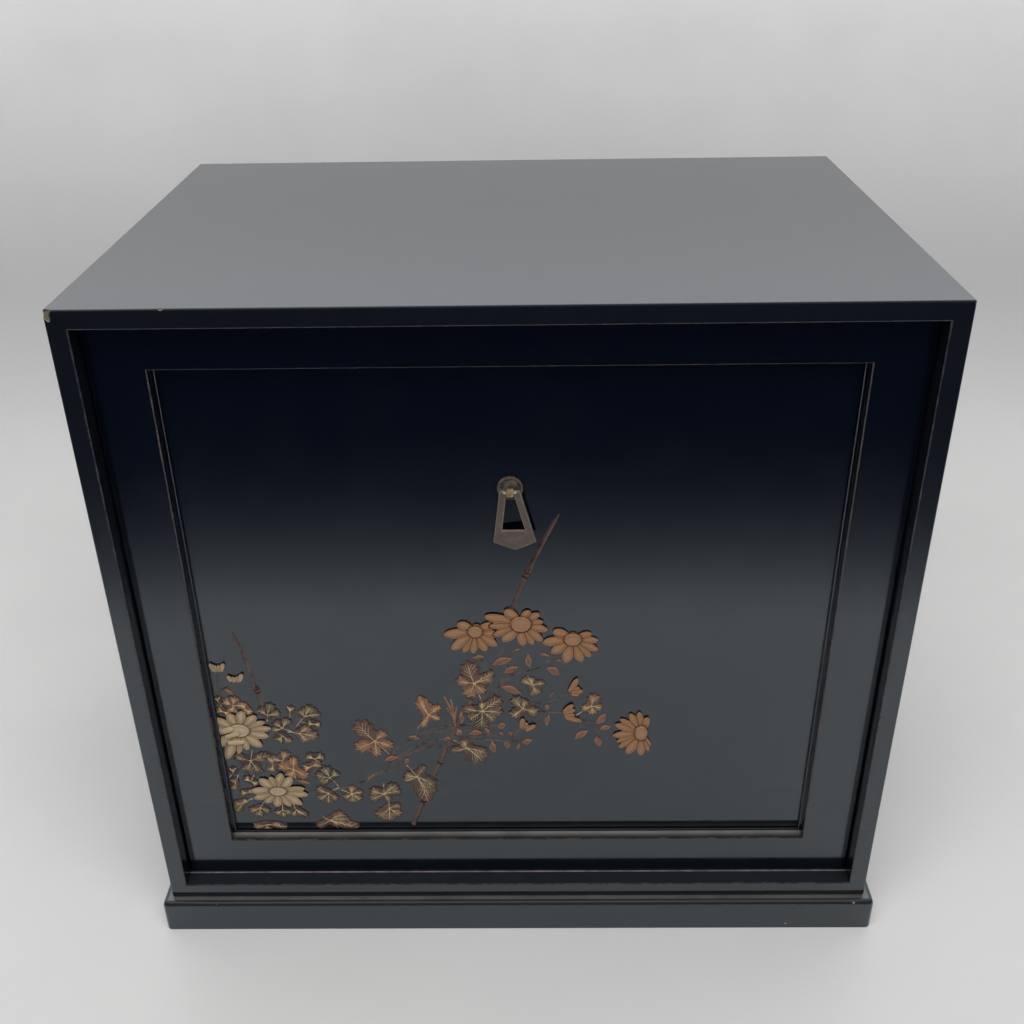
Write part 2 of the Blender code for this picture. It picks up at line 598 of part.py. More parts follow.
def make_door_frame():
    """Stiles and rails: a bead at the foot of the reveal, a housing for the panel, tongues."""
    upper_tongue_end = DOOR_TOP + UPPER_TONGUE
    lower_tongue_end = DOOR_BOTTOM - LOWER_TONGUE
    rail_side = SIGHT_SIDE - JOINT_GAP
    bead_low = SIGHT_BOTTOM + JOINT_GAP
    bead_high = SIGHT_TOP - JOINT_GAP
    bead_side = SIGHT_SIDE - BEAD_SIZE - JOINT_GAP
    overlap = 2 * DOOR_EDGE_RADIUS

    def member(name, low, high, bead_from, bead_to, tongues):
        wood = rounded(block(name, low, high, PARTS), DOOR_EDGE_RADIUS, 1)
        combine(wood, "UNION", rounded(
            block(name + "_bead", bead_from, bead_to, CUTTERS), BEAD_ROUNDING, 1))
        for index, (first, last) in enumerate(tongues):
            combine(wood, "UNION", block(f"{name}_tongue_{index}", first, last, CUTTERS))
        combine(wood, "DIFFERENCE", housing)
        finish(wood, LACQUER)

    margin = JOINT_GAP
    housing = block("panel_housing",
                    (-SIGHT_SIDE - PANEL_HOUSING, FIELD - margin, SIGHT_BOTTOM - PANEL_HOUSING),
                    (SIGHT_SIDE + PANEL_HOUSING, PANEL_BACK + margin, SIGHT_TOP + PANEL_HOUSING),
                    CUTTERS)

    for name, side in (("door_stile_left", -1), ("door_stile_right", 1)):
        outer, inner = sorted((side * DOOR_SIDE, side * SIGHT_SIDE))
        bead = sorted((side * (SIGHT_SIDE + overlap), side * (SIGHT_SIDE - BEAD_SIZE)))
        member(name, (outer, DOOR_FRONT, DOOR_BOTTOM), (inner, DOOR_BACK, DOOR_TOP),
               (bead[0], BEAD_FRONT, bead_low), (bead[1], BEAD_BACK, bead_high),
               (((outer, TONGUE_FRONT, DOOR_TOP - overlap),
                 (inner, TONGUE_BACK, upper_tongue_end)),
                ((outer, TONGUE_FRONT, lower_tongue_end),
                 (inner, TONGUE_BACK, DOOR_BOTTOM + overlap))))

    member("door_rail_top", (-rail_side, DOOR_FRONT, SIGHT_TOP), (rail_side, DOOR_BACK, DOOR_TOP),
           (-bead_side, BEAD_FRONT, SIGHT_TOP - BEAD_SIZE),
           (bead_side, BEAD_BACK, SIGHT_TOP + overlap),
           (((-rail_side, TONGUE_FRONT, DOOR_TOP - overlap),
             (rail_side, TONGUE_BACK, upper_tongue_end)),))
    member("door_rail_bottom", (-rail_side, DOOR_FRONT, DOOR_BOTTOM),
           (rail_side, DOOR_BACK, SIGHT_BOTTOM),
           (-bead_side, BEAD_FRONT, SIGHT_BOTTOM - overlap),
           (bead_side, BEAD_BACK, SIGHT_BOTTOM + BEAD_SIZE),
           (((-rail_side, TONGUE_FRONT, lower_tongue_end),
             (rail_side, TONGUE_BACK, DOOR_BOTTOM + overlap)),))


def ribbon(name, points, sink, collection):
    """A round bar lying half sunk in the panel, through points (across, up, half-width)."""
    curve = bpy.data.curves.new(name, "CURVE")
    curve.dimensions = "3D"
    curve.bevel_depth = 1.0
    curve.bevel_resolution = 0
    curve.use_fill_caps = True
    spline = curve.splines.new("POLY")
    spline.points.add(len(points) - 1)
    for point, (across, up, half_width) in zip(spline.points, points):
        radius = half_width * MM
        point.co = (*on_field(across, up, -sink * radius), 1.0)
        point.radius = radius
    return mesh_of_curve(name, curve, collection)


def make_relief(field_block):
    """Leaves, stems, poles and straw, each a closed form whose foot is in the panel."""
    forms = []
    for index, (across, up, length, width, turn) in enumerate(LEAVES):
        outline = turned(lobed_leaf(length, width), (across, up), turn)
        lift = HEIGHT_STEP * (index % 5)
        forms.append((raised(f"leaf_{index:02d}", outline, RELIEF_FOOT + lift, LEAF_RIM + lift,
                             LEAF_CROWN + lift, RELIEF), outline))
    for index, (across, up, length, width, turn) in enumerate(LEAFLETS):
        outline = turned(pointed_leaf(length, width), (across, up), turn)
        lift = HEIGHT_STEP * (index % 4)
        forms.append((raised(f"leaflet_{index:02d}", outline, RELIEF_FOOT - lift,
                             LEAFLET_RIM + lift, LEAFLET_CROWN + lift, RELIEF), outline))
    half = STEM_RADIUS / MM
    for index, points in enumerate(STEMS):
        ribbon(f"stem_{index:02d}", [(*place, half) for place in points],
               STEM_SINK / STEM_RADIUS, RELIEF)
    for index, points in enumerate(POLES):
        ribbon(f"pole_{index}", points, POLE_SINK, RELIEF)
    for index, points in enumerate(STRAWS):
        ribbon(f"straw_{index}", points, 0.0, RELIEF)
    for form, outline in forms:
        if passes_field(outline, JOINT_GAP):
            combine(form, "INTERSECT", field_block)


def make_inlays(field_block, pocket_block):
    """Blooms and buds, and a pocket in the panel for each."""
    for name, look, middle, disc, tips in BLOOMS:
        spokes = bloom_spokes(middle, disc, tips)
        outline = bloom_outline(middle, spokes)
        flower = finish(bloom(name, middle, spokes, PARTS), look)
        if passes_field(outline, JOINT_GAP):
            combine(flower, "INTERSECT", field_block)
        add_pocket(name, outline, pocket_block)
    middle_pocket = POCKETS.objects["bloom_upper_middle_pocket"]
    for name in ("bloom_upper_left", "bloom_upper_right"):
        combine(PARTS.objects[name], "DIFFERENCE", middle_pocket)
    for name, look, middle, width, height, turn in BUDS:
        outline = turned(bud_outline(width, height), middle, turn)
        finish(raised(name, outline, INLAY_DEPTH, BUD_RIM, BUD_CROWN, PARTS), look)
        add_pocket(name, outline, pocket_block)


def add_pocket(name, outline, pocket_block):
    """The cutter for an inlay's seat: its outline with clearance, open to the front."""
    reach = grown(outline, INLAY_CLEARANCE)
    cutter = raised(name + "_pocket", reach, INLAY_DEPTH + INLAY_CLEARANCE, CUTTER_REACH, 0.0,
                    POCKETS)
    if passes_field(reach, 0.0):
        combine(cutter, "INTERSECT", pocket_block)


def make_panel():
    """The panel in its housing, with the relief joined to it and the seats cut in it."""
    edge = PANEL_HOUSING - JOINT_GAP
    panel = block("door_panel", (-SIGHT_SIDE - edge, FIELD, SIGHT_BOTTOM - edge),
                  (SIGHT_SIDE + edge, PANEL_BACK, SIGHT_TOP + edge), PARTS)
    field_block = block("field_space", *field_corners(JOINT_GAP), CUTTERS)
    pocket_block = block("pocket_space", *field_corners(0.0), CUTTERS)
    make_relief(field_block)
    make_inlays(field_block, pocket_block)
    combine(panel, "UNION", RELIEF)
    combine(panel, "DIFFERENCE", POCKETS)
    combine(panel, "DIFFERENCE", cylinder(
        "shank_hole", SHANK_RADIUS + PIN_CLEARANCE, (PIVOT_ACROSS, FIELD - MM, PIVOT_UP),
        (PIVOT_ACROSS, FIELD + SHANK_IN_PANEL + JOINT_GAP, PIVOT_UP), CUTTERS, SMALL_SIDES))
    finish(panel, LACQUER)


def make_pull():
    """Plate, eye and drop. The drop's origin is on its pin's axis."""
    pivot = Vector((PIVOT_ACROSS, PIVOT_FRONT, PIVOT_UP))
    plate_up = PIVOT_UP + PLATE_RISE
    plate = cylinder("pull_plate", PLATE_RADIUS, (PIVOT_ACROSS, PLATE_BACK, plate_up),
                     (PIVOT_ACROSS, PLATE_FRONT, plate_up), PARTS)
    rounded(plate, PLATE_ROUNDING, 1)
    combine(plate, "DIFFERENCE", cylinder(
        "plate_hole", SHANK_RADIUS + PIN_CLEARANCE, (PIVOT_ACROSS, PLATE_BACK + MM, PIVOT_UP),
        (PIVOT_ACROSS, PLATE_FRONT - MM, PIVOT_UP), CUTTERS, SMALL_SIDES))
    finish(plate, BRONZE)

    across = Vector((EYE_WIDTH / 2, 0, 0))
    eye = cylinder("pull_eye", EYE_RADIUS, pivot - across, pivot + across, PARTS, SMALL_SIDES)
    combine(eye, "UNION", cylinder(
        "shank", SHANK_RADIUS, pivot + Vector((0, EYE_RADIUS / 2, 0)),
        (PIVOT_ACROSS, FIELD + SHANK_IN_PANEL, PIVOT_UP), CUTTERS, SMALL_SIDES))
    combine(eye, "DIFFERENCE", cylinder(
        "eye_bore", PIN_RADIUS + PIN_CLEARANCE, pivot - 2 * across, pivot + 2 * across,
        CUTTERS, SMALL_SIDES))
    finish(eye, BRASS)

    arm = EYE_WIDTH / 2 + DROP_ARM_GAP
    corner = DROP_ARM_ABOVE_PIN / 2
    right = [(arm, -DROP_THROAT_DEPTH),
             (arm, DROP_ARM_ABOVE_PIN),
             (DROP_TOP_HALF_WIDTH - corner, DROP_ARM_ABOVE_PIN),
             (DROP_TOP_HALF_WIDTH, DROP_ARM_ABOVE_PIN - corner),
             (DROP_CORNER_HALF_WIDTH, -DROP_CORNER_DEPTH)]
    outline = [(0.0, -DROP_OPENING_DEPTH),
               (DROP_OPENING_BOTTOM_HALF_WIDTH, -DROP_OPENING_DEPTH), *right,
               (0.0, -DROP_LENGTH)]
    outline += [(-x, z) for x, z in reversed(outline[1:-1])]
    drop = flat_plate("pull_drop", outline, DROP_THICKNESS, DROP_EDGE, PARTS)
    drop.location = pivot
    drop.rotation_euler = (0.0, DROP_LEAN, DROP_YAW)
    pin_reach = (arm + DROP_TOP_HALF_WIDTH) / 2
    pin = cylinder("pin", PIN_RADIUS, (-pin_reach, 0, 0), (pin_reach, 0, 0), CUTTERS,
                   SMALL_SIDES)
    pin.parent = drop
    combine(drop, "UNION", pin)
    finish(drop, BRONZE)


def flat_plate(name, outline, thickness, edge, collection):
    """A plate standing in the XZ plane round its own origin, with its edges eased."""
    curve = bpy.data.curves.new(name, "CURVE")
    curve.dimensions = "2D"
    curve.fill_mode = "BOTH"
    curve.extrude = thickness / 2 - edge
    curve.bevel_depth = edge
    curve.bevel_resolution = 0
    curve.offset = -edge
    spline = curve.splines.new("POLY")
    spline.points.add(len(outline) - 1)
    for point, (across, up) in zip(spline.points, outline):
        point.co = (across, up, 0.0, 1.0)
    spline.use_cyclic_u = True
    plate = mesh_of_curve(name, curve, collection)
    for vertex in plate.data.vertices:
        vertex.co = (vertex.co.x, -vertex.co.z, vertex.co.y)
    return plate


clear_scene()
PARTS = make_collection("tea_cabinet")
CUTTERS = make_collection("cutters")
RELIEF = make_collection("relief_forms")
POCKETS = make_collection("pocket_cutters")
make_case()
make_plinth()
make_door_frame()
make_panel()
make_pull()
for helper in (*RELIEF.objects, *POCKETS.objects):
    helper.hide_render = True
    helper.display_type = "WIRE"
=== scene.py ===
"""Looks of a black-lacquered tea cabinet with a chrysanthemum spray on its lift-out door.

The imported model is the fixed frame. Each sub-assembly is a class that builds its pieces in that
frame, in metres, dresses them and lets them ride on their body. The spray is drawn in
millimetres on a sheet laid over the door's field, where across is X and up is Z.
"""

import json
import logging
import math
from contextlib import contextmanager
from dataclasses import dataclass, field, replace
from enum import Enum
from typing import Callable, Iterator, Sequence

import bmesh
import bpy
import numpy as np
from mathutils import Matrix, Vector, noise

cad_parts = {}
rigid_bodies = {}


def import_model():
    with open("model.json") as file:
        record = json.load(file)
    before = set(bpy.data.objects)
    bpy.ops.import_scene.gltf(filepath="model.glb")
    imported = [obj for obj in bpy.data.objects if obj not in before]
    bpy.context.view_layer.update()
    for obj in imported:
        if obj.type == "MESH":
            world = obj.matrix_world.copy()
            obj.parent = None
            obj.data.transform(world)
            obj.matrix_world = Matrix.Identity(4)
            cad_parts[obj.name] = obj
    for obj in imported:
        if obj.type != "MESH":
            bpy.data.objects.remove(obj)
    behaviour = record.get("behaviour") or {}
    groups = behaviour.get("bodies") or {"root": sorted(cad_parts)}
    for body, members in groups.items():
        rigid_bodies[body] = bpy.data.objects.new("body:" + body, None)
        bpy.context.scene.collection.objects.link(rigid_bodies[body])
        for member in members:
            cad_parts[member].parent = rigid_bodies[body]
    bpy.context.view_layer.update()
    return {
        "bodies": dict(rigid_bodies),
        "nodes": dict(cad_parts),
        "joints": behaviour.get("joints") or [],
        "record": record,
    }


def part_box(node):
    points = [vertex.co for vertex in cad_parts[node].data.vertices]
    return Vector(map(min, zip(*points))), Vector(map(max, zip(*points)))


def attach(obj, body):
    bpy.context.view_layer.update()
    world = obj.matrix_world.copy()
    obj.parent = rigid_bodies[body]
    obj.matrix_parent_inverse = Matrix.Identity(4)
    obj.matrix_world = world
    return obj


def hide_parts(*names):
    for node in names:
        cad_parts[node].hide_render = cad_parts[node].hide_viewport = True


log = logging.getLogger("tea_cabinet")

MM = 0.001
TOUCH = 0.00001

# Thickness of the tongues that stand the door in its grooves, in metres
TONGUE = 0.005

# Material slots of a piece, in the order in which it is given its finishes
FIRST, SECOND, THIRD = range(3)

Item = bpy.types.Object
Tree = bpy.types.NodeTree
Node = bpy.types.Node
Socket = bpy.types.NodeSocket
Material = bpy.types.Material
Place = tuple[float, float]
Triple = tuple[float, float, float]
PlaceTest = Callable[[Vector], bool]
PairTest = Callable[[Vector, Vector], bool]
Field = Callable[[np.ndarray], np.ndarray]
Stroke = tuple[Place, Place, float]


class Element(Enum):
    """What an edit-mode selection picks."""

    VERTEX = "VERT"
    EDGE = "EDGE"
    FACE = "FACE"


class Axis(Enum):
    """A direction of the frame, as an index into a place."""

    X = 0
    Y = 1
    Z = 2


class Tint(Enum):
    """Colour of a leaf's lobe: shares of reddish brown, of orange and of gold over a dusky ground."""

    DUSK = (0.20, 0.0, 0.06)
    BROWN = (0.85, 0.10, 0.05)
    ORANGE = (0.45, 0.90, 0.08)
    GOLD = (0.20, 0.08, 0.80)


DUSK, BROWN, ORANGE, GOLD = Tint


# Hand tools: selection, editing, modifiers


def linear(hex_colour: str) -> tuple[float, float, float, float]:
    """Turn an sRGB hex colour into linear RGBA.

    Args:
        hex_colour: The colour as "#rrggbb".

    Returns:
        Linear red, green and blue, with an alpha of one.
    """
    channels = [int(hex_colour[start:start + 2], 16) / 255 for start in (1, 3, 5)]
    red, green, blue = (c / 12.92 if c <= 0.04045 else ((c + 0.055) / 1.055) ** 2.4 for c in channels)
    return red, green, blue, 1.0


def activate(item: Item) -> None:
    """Select one object alone and make it the active one."""
    bpy.ops.object.select_all(action="DESELECT")
    item.select_set(True)
    bpy.context.view_layer.objects.active = item


@contextmanager
def editing(item: Item) -> Iterator[None]:
    """Open one object alone in edit mode with nothing selected, and close it again."""
    activate(item)
    bpy.ops.object.mode_set(mode="EDIT")
    bpy.ops.mesh.select_all(action="DESELECT")
    yield
    bpy.ops.object.mode_set(mode="OBJECT")


def pick(item: Item, element: Element, test: Callable[..., bool]) -> None:
    """Select vertices, edges or faces in edit mode by where they are.

    Args:
        item: The object in edit mode.
        element: What to select.
        test: Takes a vertex's place, an edge's two places, or a face's middle and normal.
    """
    bpy.ops.mesh.select_all(action="DESELECT")
    bpy.ops.mesh.select_mode(type=element.value)
    form = bmesh.from_edit_mesh(item.data)
    if element is Element.VERTEX:
        for vertex in form.verts:
            vertex.select_set(test(vertex.co))
    elif element is Element.EDGE:
        for edge in form.edges:
            edge.select_set(test(edge.verts[0].co, edge.verts[1].co))
    else:
        for face in form.faces:
            face.select_set(test(face.calc_center_median(), face.normal))
    form.select_flush_mode()
    bmesh.update_edit_mesh(item.data)


def settle(item: Item) -> Item:
    """Put an object's place, turn and scale into its mesh."""
    activate(item)
    bpy.ops.object.transform_apply(location=True, rotation=True, scale=True)
    return item


def add_box(name: str, low: Vector, high: Vector) -> Item:
    """Add a cube primitive between two corners.

    Args:
        name: The object's name.
        low: Its lowest corner.
        high: Its highest corner.

    Returns:
        The box, with its place in its mesh.
    """
    bpy.ops.mesh.primitive_cube_add(size=1.0, location=(low + high) / 2)
    item = bpy.context.object
    item.name = name
    item.scale = high - low
    return settle(item)


def apply_modifier(item: Item, kind: str, **settings: object) -> None:
    """Add a modifier, set it and apply it to the mesh.

    Args:
        item: The object to change.
        kind: The modifier's type.
        settings: Its properties by name.
    """
    modifier = item.modifiers.new(kind.title(), kind)
    for name, value in settings.items():
        setattr(modifier, name, value)
    activate(item)
    bpy.ops.object.modifier_apply(modifier=modifier.name)


def combine(item: Item, other: Item, operation: str) -> None:
    """Join another solid to an object (UNION) or cut it away (DIFFERENCE), with its finishes."""
    apply_modifier(item, "BOOLEAN", operation=operation, solver="EXACT", object=other,
                   material_mode="TRANSFER")
    bpy.data.objects.remove(other, do_unlink=True)


def join(name: str, items: Sequence[Item], look: "Finish") -> Item:
    """Make several carved leaves one object.

    Args:
        name: The name of the result.
        items: The objects to join. The first one stays.
        look: Their finish.

    Returns:
        The joined object, shaded smooth.
    """
    activate(items[0])
    for item in items[1:]:
        item.select_set(True)
    bpy.ops.object.join()
    items[0].name = name
    give_slots(items[0], look)
    smooth(items[0], 50.0)
    return items[0]


def weld(item: Item) -> None:
    """Merge the places where a mesh meets itself and point its faces outwards."""
    with editing(item):
        bpy.ops.mesh.select_all(action="SELECT")
        bpy.ops.mesh.remove_doubles(threshold=2e-6)
        bpy.ops.mesh.normals_make_consistent(inside=False)


def smooth(item: Item, degrees: float = 35.0) -> None:
    """Shade an object smooth, with edges sharper than an angle kept crisp."""
    activate(item)
    bpy.ops.object.shade_smooth_by_angle(angle=math.radians(degrees))


def polish(item: Item, degrees: float = 35.0) -> None:
    """Shade an object smooth and keep its broad faces flat right up to their eased edges."""
    smooth(item, degrees)
    apply_modifier(item, "WEIGHTED_NORMAL", keep_sharp=True, weight=100)


def bevel_edges(item: Item, test: PairTest, width: float, segments: int, slot: int = FIRST) -> None:
    """Round the edges that a test picks.

    Args:
        item: The object to change.
        test: Takes an edge's two places.
        width: How far from the edge the rounding starts.
        segments: How many faces round it off.
        slot: The material slot of the new faces.
    """
    with editing(item):
        pick(item, Element.EDGE, test)
        bpy.ops.mesh.bevel(offset=width, segments=segments, affect="EDGES",
                           clamp_overlap=False, material=slot)


def near(value: float, target: float) -> bool:
    """Say whether two lengths are the same within a hundredth of a millimetre."""
    return abs(value - target) < TOUCH


def both(test: PlaceTest) -> PairTest:
    """Make a test of an edge that both its ends have to pass."""
    return lambda a, b: test(a) and test(b)


def rectangular_tube(name: str, low: Vector, high: Vector, axis: Axis,
                     inner_low: Vector, inner_high: Vector) -> Item:
    """Model a square-cornered ring from a cube: inset two faces and bridge them.

    Args:
        name: The object's name.
        low: Lowest corner of the outside.
        high: Highest corner of the outside.
        axis: The way through the ring.
        inner_low: Lowest corner of the opening. Its value along the axis isn't used.
        inner_high: Highest corner of the opening.

    Returns:
        The ring.
    """
    item = add_box(name, low, high)
    across = [index for index in range(3) if index != axis.value]
    margin = min(inner_low[across[0]] - low[across[0]], inner_low[across[1]] - low[across[1]],
                 high[across[0]] - inner_high[across[0]], high[across[1]] - inner_high[across[1]])

    def facing(middle: Vector, normal: Vector) -> bool:
        """Say whether a face looks along the ring's way through."""
        return abs(normal[axis.value]) > 0.9

    with editing(item):
        pick(item, Element.FACE, facing)
        bpy.ops.mesh.inset(thickness=margin, use_individual=True)
        for index in across:
            for start, end in ((low[index] + margin, inner_low[index]),
                               (high[index] - margin, inner_high[index])):
                other = across[0] if index == across[1] else across[1]
                offset = [0.0, 0.0, 0.0]
                offset[index] = end - start
                pick(item, Element.VERTEX, lambda place, index=index, start=start, other=other:
                     near(place[index], start)
                     and low[other] + TOUCH < place[other] < high[other] - TOUCH)
                bpy.ops.transform.translate(value=offset)
        pick(item, Element.FACE, lambda middle, normal: facing(middle, normal)
             and all(inner_low[index] < middle[index] < inner_high[index] for index in across)
             and near(abs(middle[across[0]] - (inner_low[across[0]] + inner_high[across[0]]) / 2), 0.0))
        bpy.ops.mesh.bridge_edge_loops()
    weld(item)
    return item


def add_cylinder(name: str, radius: float, depth: float, middle: Sequence[float], axis: Axis,
                 vertices: int) -> Item:
    """Add a cylinder primitive that lies along X or Y.

    Args:
        name: The object's name.
        radius: Its radius.
        depth: Its length along its axis.
        middle: The place of its middle.
        axis: The way it lies.
        vertices: How many sides it has.

    Returns:
        The cylinder, with its place in its mesh.
    """
    quarter = math.pi / 2
    turn = (0.0, quarter, 0.0) if axis is Axis.X else (quarter, 0.0, 0.0)
    bpy.ops.mesh.primitive_cylinder_add(vertices=vertices, radius=radius, depth=depth,
                                        location=middle, rotation=turn)
    item = bpy.context.object
    item.name = name
    return settle(item)


def give_slots(item: Item, *looks: "Finish") -> None:
    """Replace an object's material slots with finishes."""
    item.data.materials.clear()
    for look in looks:
        item.data.materials.append(look.material())


def curve_to_mesh(curve: bpy.types.Curve) -> Item:
    """Turn a curve into a welded mesh object of the same name."""
    item = bpy.data.objects.new(curve.name, curve)
    bpy.context.scene.collection.objects.link(item)
    activate(item)
    bpy.ops.object.convert(target="MESH")
    weld(bpy.context.object)
    return bpy.context.object


def make_tubes(name: str, runs: Sequence[np.ndarray], look: "Finish", sides: int = 2) -> Item:
    """Sweep round bars along paths and make them one mesh.

    Args:
        name: The object's name.
        runs: For each bar an array of rows (x, y, z, radius) in metres.
        look: Their finish.
        sides: The curve's bevel resolution.

    Returns:
        The bars as one object, with closed ends.
    """
    curve = bpy.data.curves.new(name, "CURVE")
    curve.dimensions = "3D"
    curve.bevel_depth = 1.0
    curve.bevel_resolution = sides
    curve.use_fill_caps = True
    for run in runs:
        spline = curve.splines.new("POLY")
        spline.points.add(len(run) - 1)
        for point, (x, y, z, radius) in zip(spline.points, run):
            point.co = (x, y, z, 1.0)
            point.radius = radius
    item = curve_to_mesh(curve)
    give_slots(item, look)
    smooth(item, 60.0)
    return item


def paint(item: Item, name: str, values: np.ndarray) -> None:
    """Store one number for each vertex under a name that a material can read."""
    layer = item.data.attributes.new(name, "FLOAT", "POINT")
    layer.data.foreach_set("value", values.astype(np.float32))


def vertex_places(item: Item) -> np.ndarray:
    """Read an object's vertices as rows of x, y and z."""
    places = np.empty(len(item.data.vertices) * 3, np.float32)
    item.data.vertices.foreach_get("co", places)
    return places.reshape(-1, 3).astype(float)


# Numbers of the mix node's sockets when it mixes colours
MIX_SHARE, MIX_FIRST, MIX_SECOND, MIX_RESULT = 0, 6, 7, 2


def add_node(tree: Tree, kind: str, inputs: dict | None = None, **settings: object) -> Node:
    """Add a shader node with its settings and links.

    Args:
        tree: The material's node tree.
        kind: The node's type name.
        inputs: Values or sockets to link, by the input's name or number.
        settings: Properties of the node by name.

    Returns:
        The node.
    """
    node = tree.nodes.new(kind)
    for name, value in settings.items():
        setattr(node, name, value)
    for key, value in (inputs or {}).items():
        if isinstance(value, Socket):
            tree.links.new(value, node.inputs[key])
        else:
            node.inputs[key].default_value = value
    return node


@dataclass(frozen=True)
class Grain:
    """Noise on object coordinates: a feature's size, its finer octaves and its stretch."""

    size_mm: float
    detail: float = 3.0
    stretch: Triple = (1.0, 1.0, 1.0)

    def lay_out(self, tree: Tree) -> Socket:
        """Add the noise to a tree and return its socket, from 0 to 1."""
        place = add_node(tree, "ShaderNodeTexCoord").outputs["Object"]
        scaled = add_node(tree, "ShaderNodeMapping", {
            "Vector": place, "Scale": tuple(1.0 / share for share in self.stretch)})
        return add_node(tree, "ShaderNodeTexNoise", {
            "Vector": scaled.outputs["Vector"], "Scale": 1.0 / (self.size_mm * MM),
            "Detail": self.detail}).outputs["Fac"]


def span(tree: Tree, source: Grain | str | Socket, start: float, end: float,
         low: float = 0.0, high: float = 1.0) -> Socket:
    """Read a pattern and ease its range from start to end onto low to high.

    Args:
        tree: The material's node tree.
        source: A grain, the name of a point attribute, or a socket.
        start: The pattern's value that gives low.
        end: The pattern's value that gives high.
        low: The result at the start.
        high: The result at the end.

    Returns:
        The result's socket.
    """
    if isinstance(source, Grain):
        source = source.lay_out(tree)
    elif isinstance(source, str):
        source = add_node(tree, "ShaderNodeAttribute", attribute_name=source).outputs["Fac"]
    return add_node(tree, "ShaderNodeMapRange", {
        "Value": source, "From Min": start, "From Max": end, "To Min": low, "To Max": high,
    }, interpolation_type="SMOOTHSTEP").outputs["Result"]


def lay(tree: Tree, under: str | Socket, over: str, *shares: float | Socket) -> Socket:
    """Lay a colour over another by the product of some shares.

    Args:
        tree: The material's node tree.
        under: The colour below, as hex or a socket.
        over: The colour on top, as hex.
        shares: How much of the top colour shows, as values or sockets.

    Returns:
        The mixed colour's socket.
    """
    share = shares[0]
    for other in shares[1:]:
        share = add_node(tree, "ShaderNodeMath", {0: share, 1: other}, operation="MULTIPLY").outputs[0]
    below = linear(under) if isinstance(under, str) else under
    mix = add_node(tree, "ShaderNodeMix", {MIX_SHARE: share, MIX_FIRST: below,
                                           MIX_SECOND: linear(over)}, data_type="RGBA")
    return mix.outputs[MIX_RESULT]


@dataclass(frozen=True)
class Finish:
    """A finish: how one real surface looks. Its material is made once and shared."""

    name: str
    roughness: float
    ior: float = 1.5
    metallic: float = 0.0
    bumps: Grain = Grain(0.5)
    bump_mm: float = 0.04
    uneven: Grain | None = None
    uneven_shares: tuple[float, float] = (0.85, 1.15)

    def material(self) -> Material:
        """Make the material, or return the one that is there already."""
        made = bpy.data.materials.get(self.name)
        if made is None:
            made = bpy.data.materials.new(self.name)
            made.use_nodes = True
            tree = made.node_tree
            shader = tree.nodes["Principled BSDF"]
            for name, value in (("Roughness", self.roughness), ("IOR", self.ior),
                                ("Metallic", self.metallic)):
                shader.inputs[name].default_value = value
            tree.links.new(self.colour(tree, shader), shader.inputs["Base Color"])
            if self.uneven:
                rough = span(tree, self.uneven, 0.3, 0.7,
                             *(share * self.roughness for share in self.uneven_shares))
                tree.links.new(rough, shader.inputs["Roughness"])
            bump = add_node(tree, "ShaderNodeBump", {
                "Height": self.bumps.lay_out(tree), "Distance": self.bump_mm * MM,
                "Strength": 1.0})
            tree.links.new(bump.outputs["Normal"], shader.inputs["Normal"])
        return made

    def colour(self, tree: Tree, shader: Node) -> Socket:
        """Lay out this finish's colours.

        Args:
            tree: The material's node tree.
            shader: Its shader.

        Returns:
            The colour's socket.
        """
        raise NotImplementedError


@dataclass(frozen=True)
class PolishedLacquer(Finish):
    """Black lacquer in many coats, ground flat and polished by hand to a mirror.

    It gives a deep black with sharp reflections, a faint unevenness over centimetres, a film of
    dust on what faces up, ramping up towards the back of a ledge as dust and painted shade, and a
    few pale specks.
    """

    bumps: Grain = Grain(35.0, 1.0)
    bump_mm: float = 0.02
    uneven: Grain | None = Grain(24.0, 4.0)
    uneven_shares: tuple[float, float] = (0.8, 1.25)
    ground: str = "#060a13"
    film: str = "#8d8d8c"
    film_share: float = 0.04
    speck: str = "#8f918f"
    speck_share: float = 0.6
    speck_cell_mm: float = 11.0
    cells_bare: float = 0.88
    dust_and_shade_ramp: tuple[float, float] | None = None

    def colour(self, tree: Tree, shader: Node) -> Socket:
        """Mix the ground with dust on upward faces and with scattered specks."""
        shader.inputs["Specular Tint"].default_value = linear("#ebf7ff")
        facing = add_node(tree, "ShaderNodeSeparateXYZ", {
            0: add_node(tree, "ShaderNodeNewGeometry").outputs["Normal"]}).outputs["Z"]
        dust = [span(tree, facing, 0.5, 0.98, 0.0, self.film_share),
                span(tree, Grain(18.0), 0.2, 0.7, 0.75, 1.1)]
        place = add_node(tree, "ShaderNodeTexCoord").outputs["Object"]
        # Partly dust, partly painted shade: the film ramps up towards the back of a ledge and leaves its
        # front darker
        if self.dust_and_shade_ramp:
            depth = add_node(tree, "ShaderNodeSeparateXYZ", {0: place}).outputs["Y"]
            dust.append(span(tree, depth, *self.dust_and_shade_ramp, 0.12, 1.0))
        cells = add_node(tree, "ShaderNodeTexVoronoi", {
            "Vector": place, "Scale": 1.0 / (self.speck_cell_mm * MM)})
        small = span(tree, cells.outputs["Distance"], 0.012, 0.022, 1.0, 0.0)
        draw = add_node(tree, "ShaderNodeSeparateColor", {0: cells.outputs["Color"]})
        rare = add_node(tree, "ShaderNodeMath", {0: draw.outputs[0], 1: self.cells_bare},
                        operation="GREATER_THAN").outputs[0]
        return lay(tree, lay(tree, self.ground, self.film, *dust), self.speck, small, rare,
                   self.speck_share)


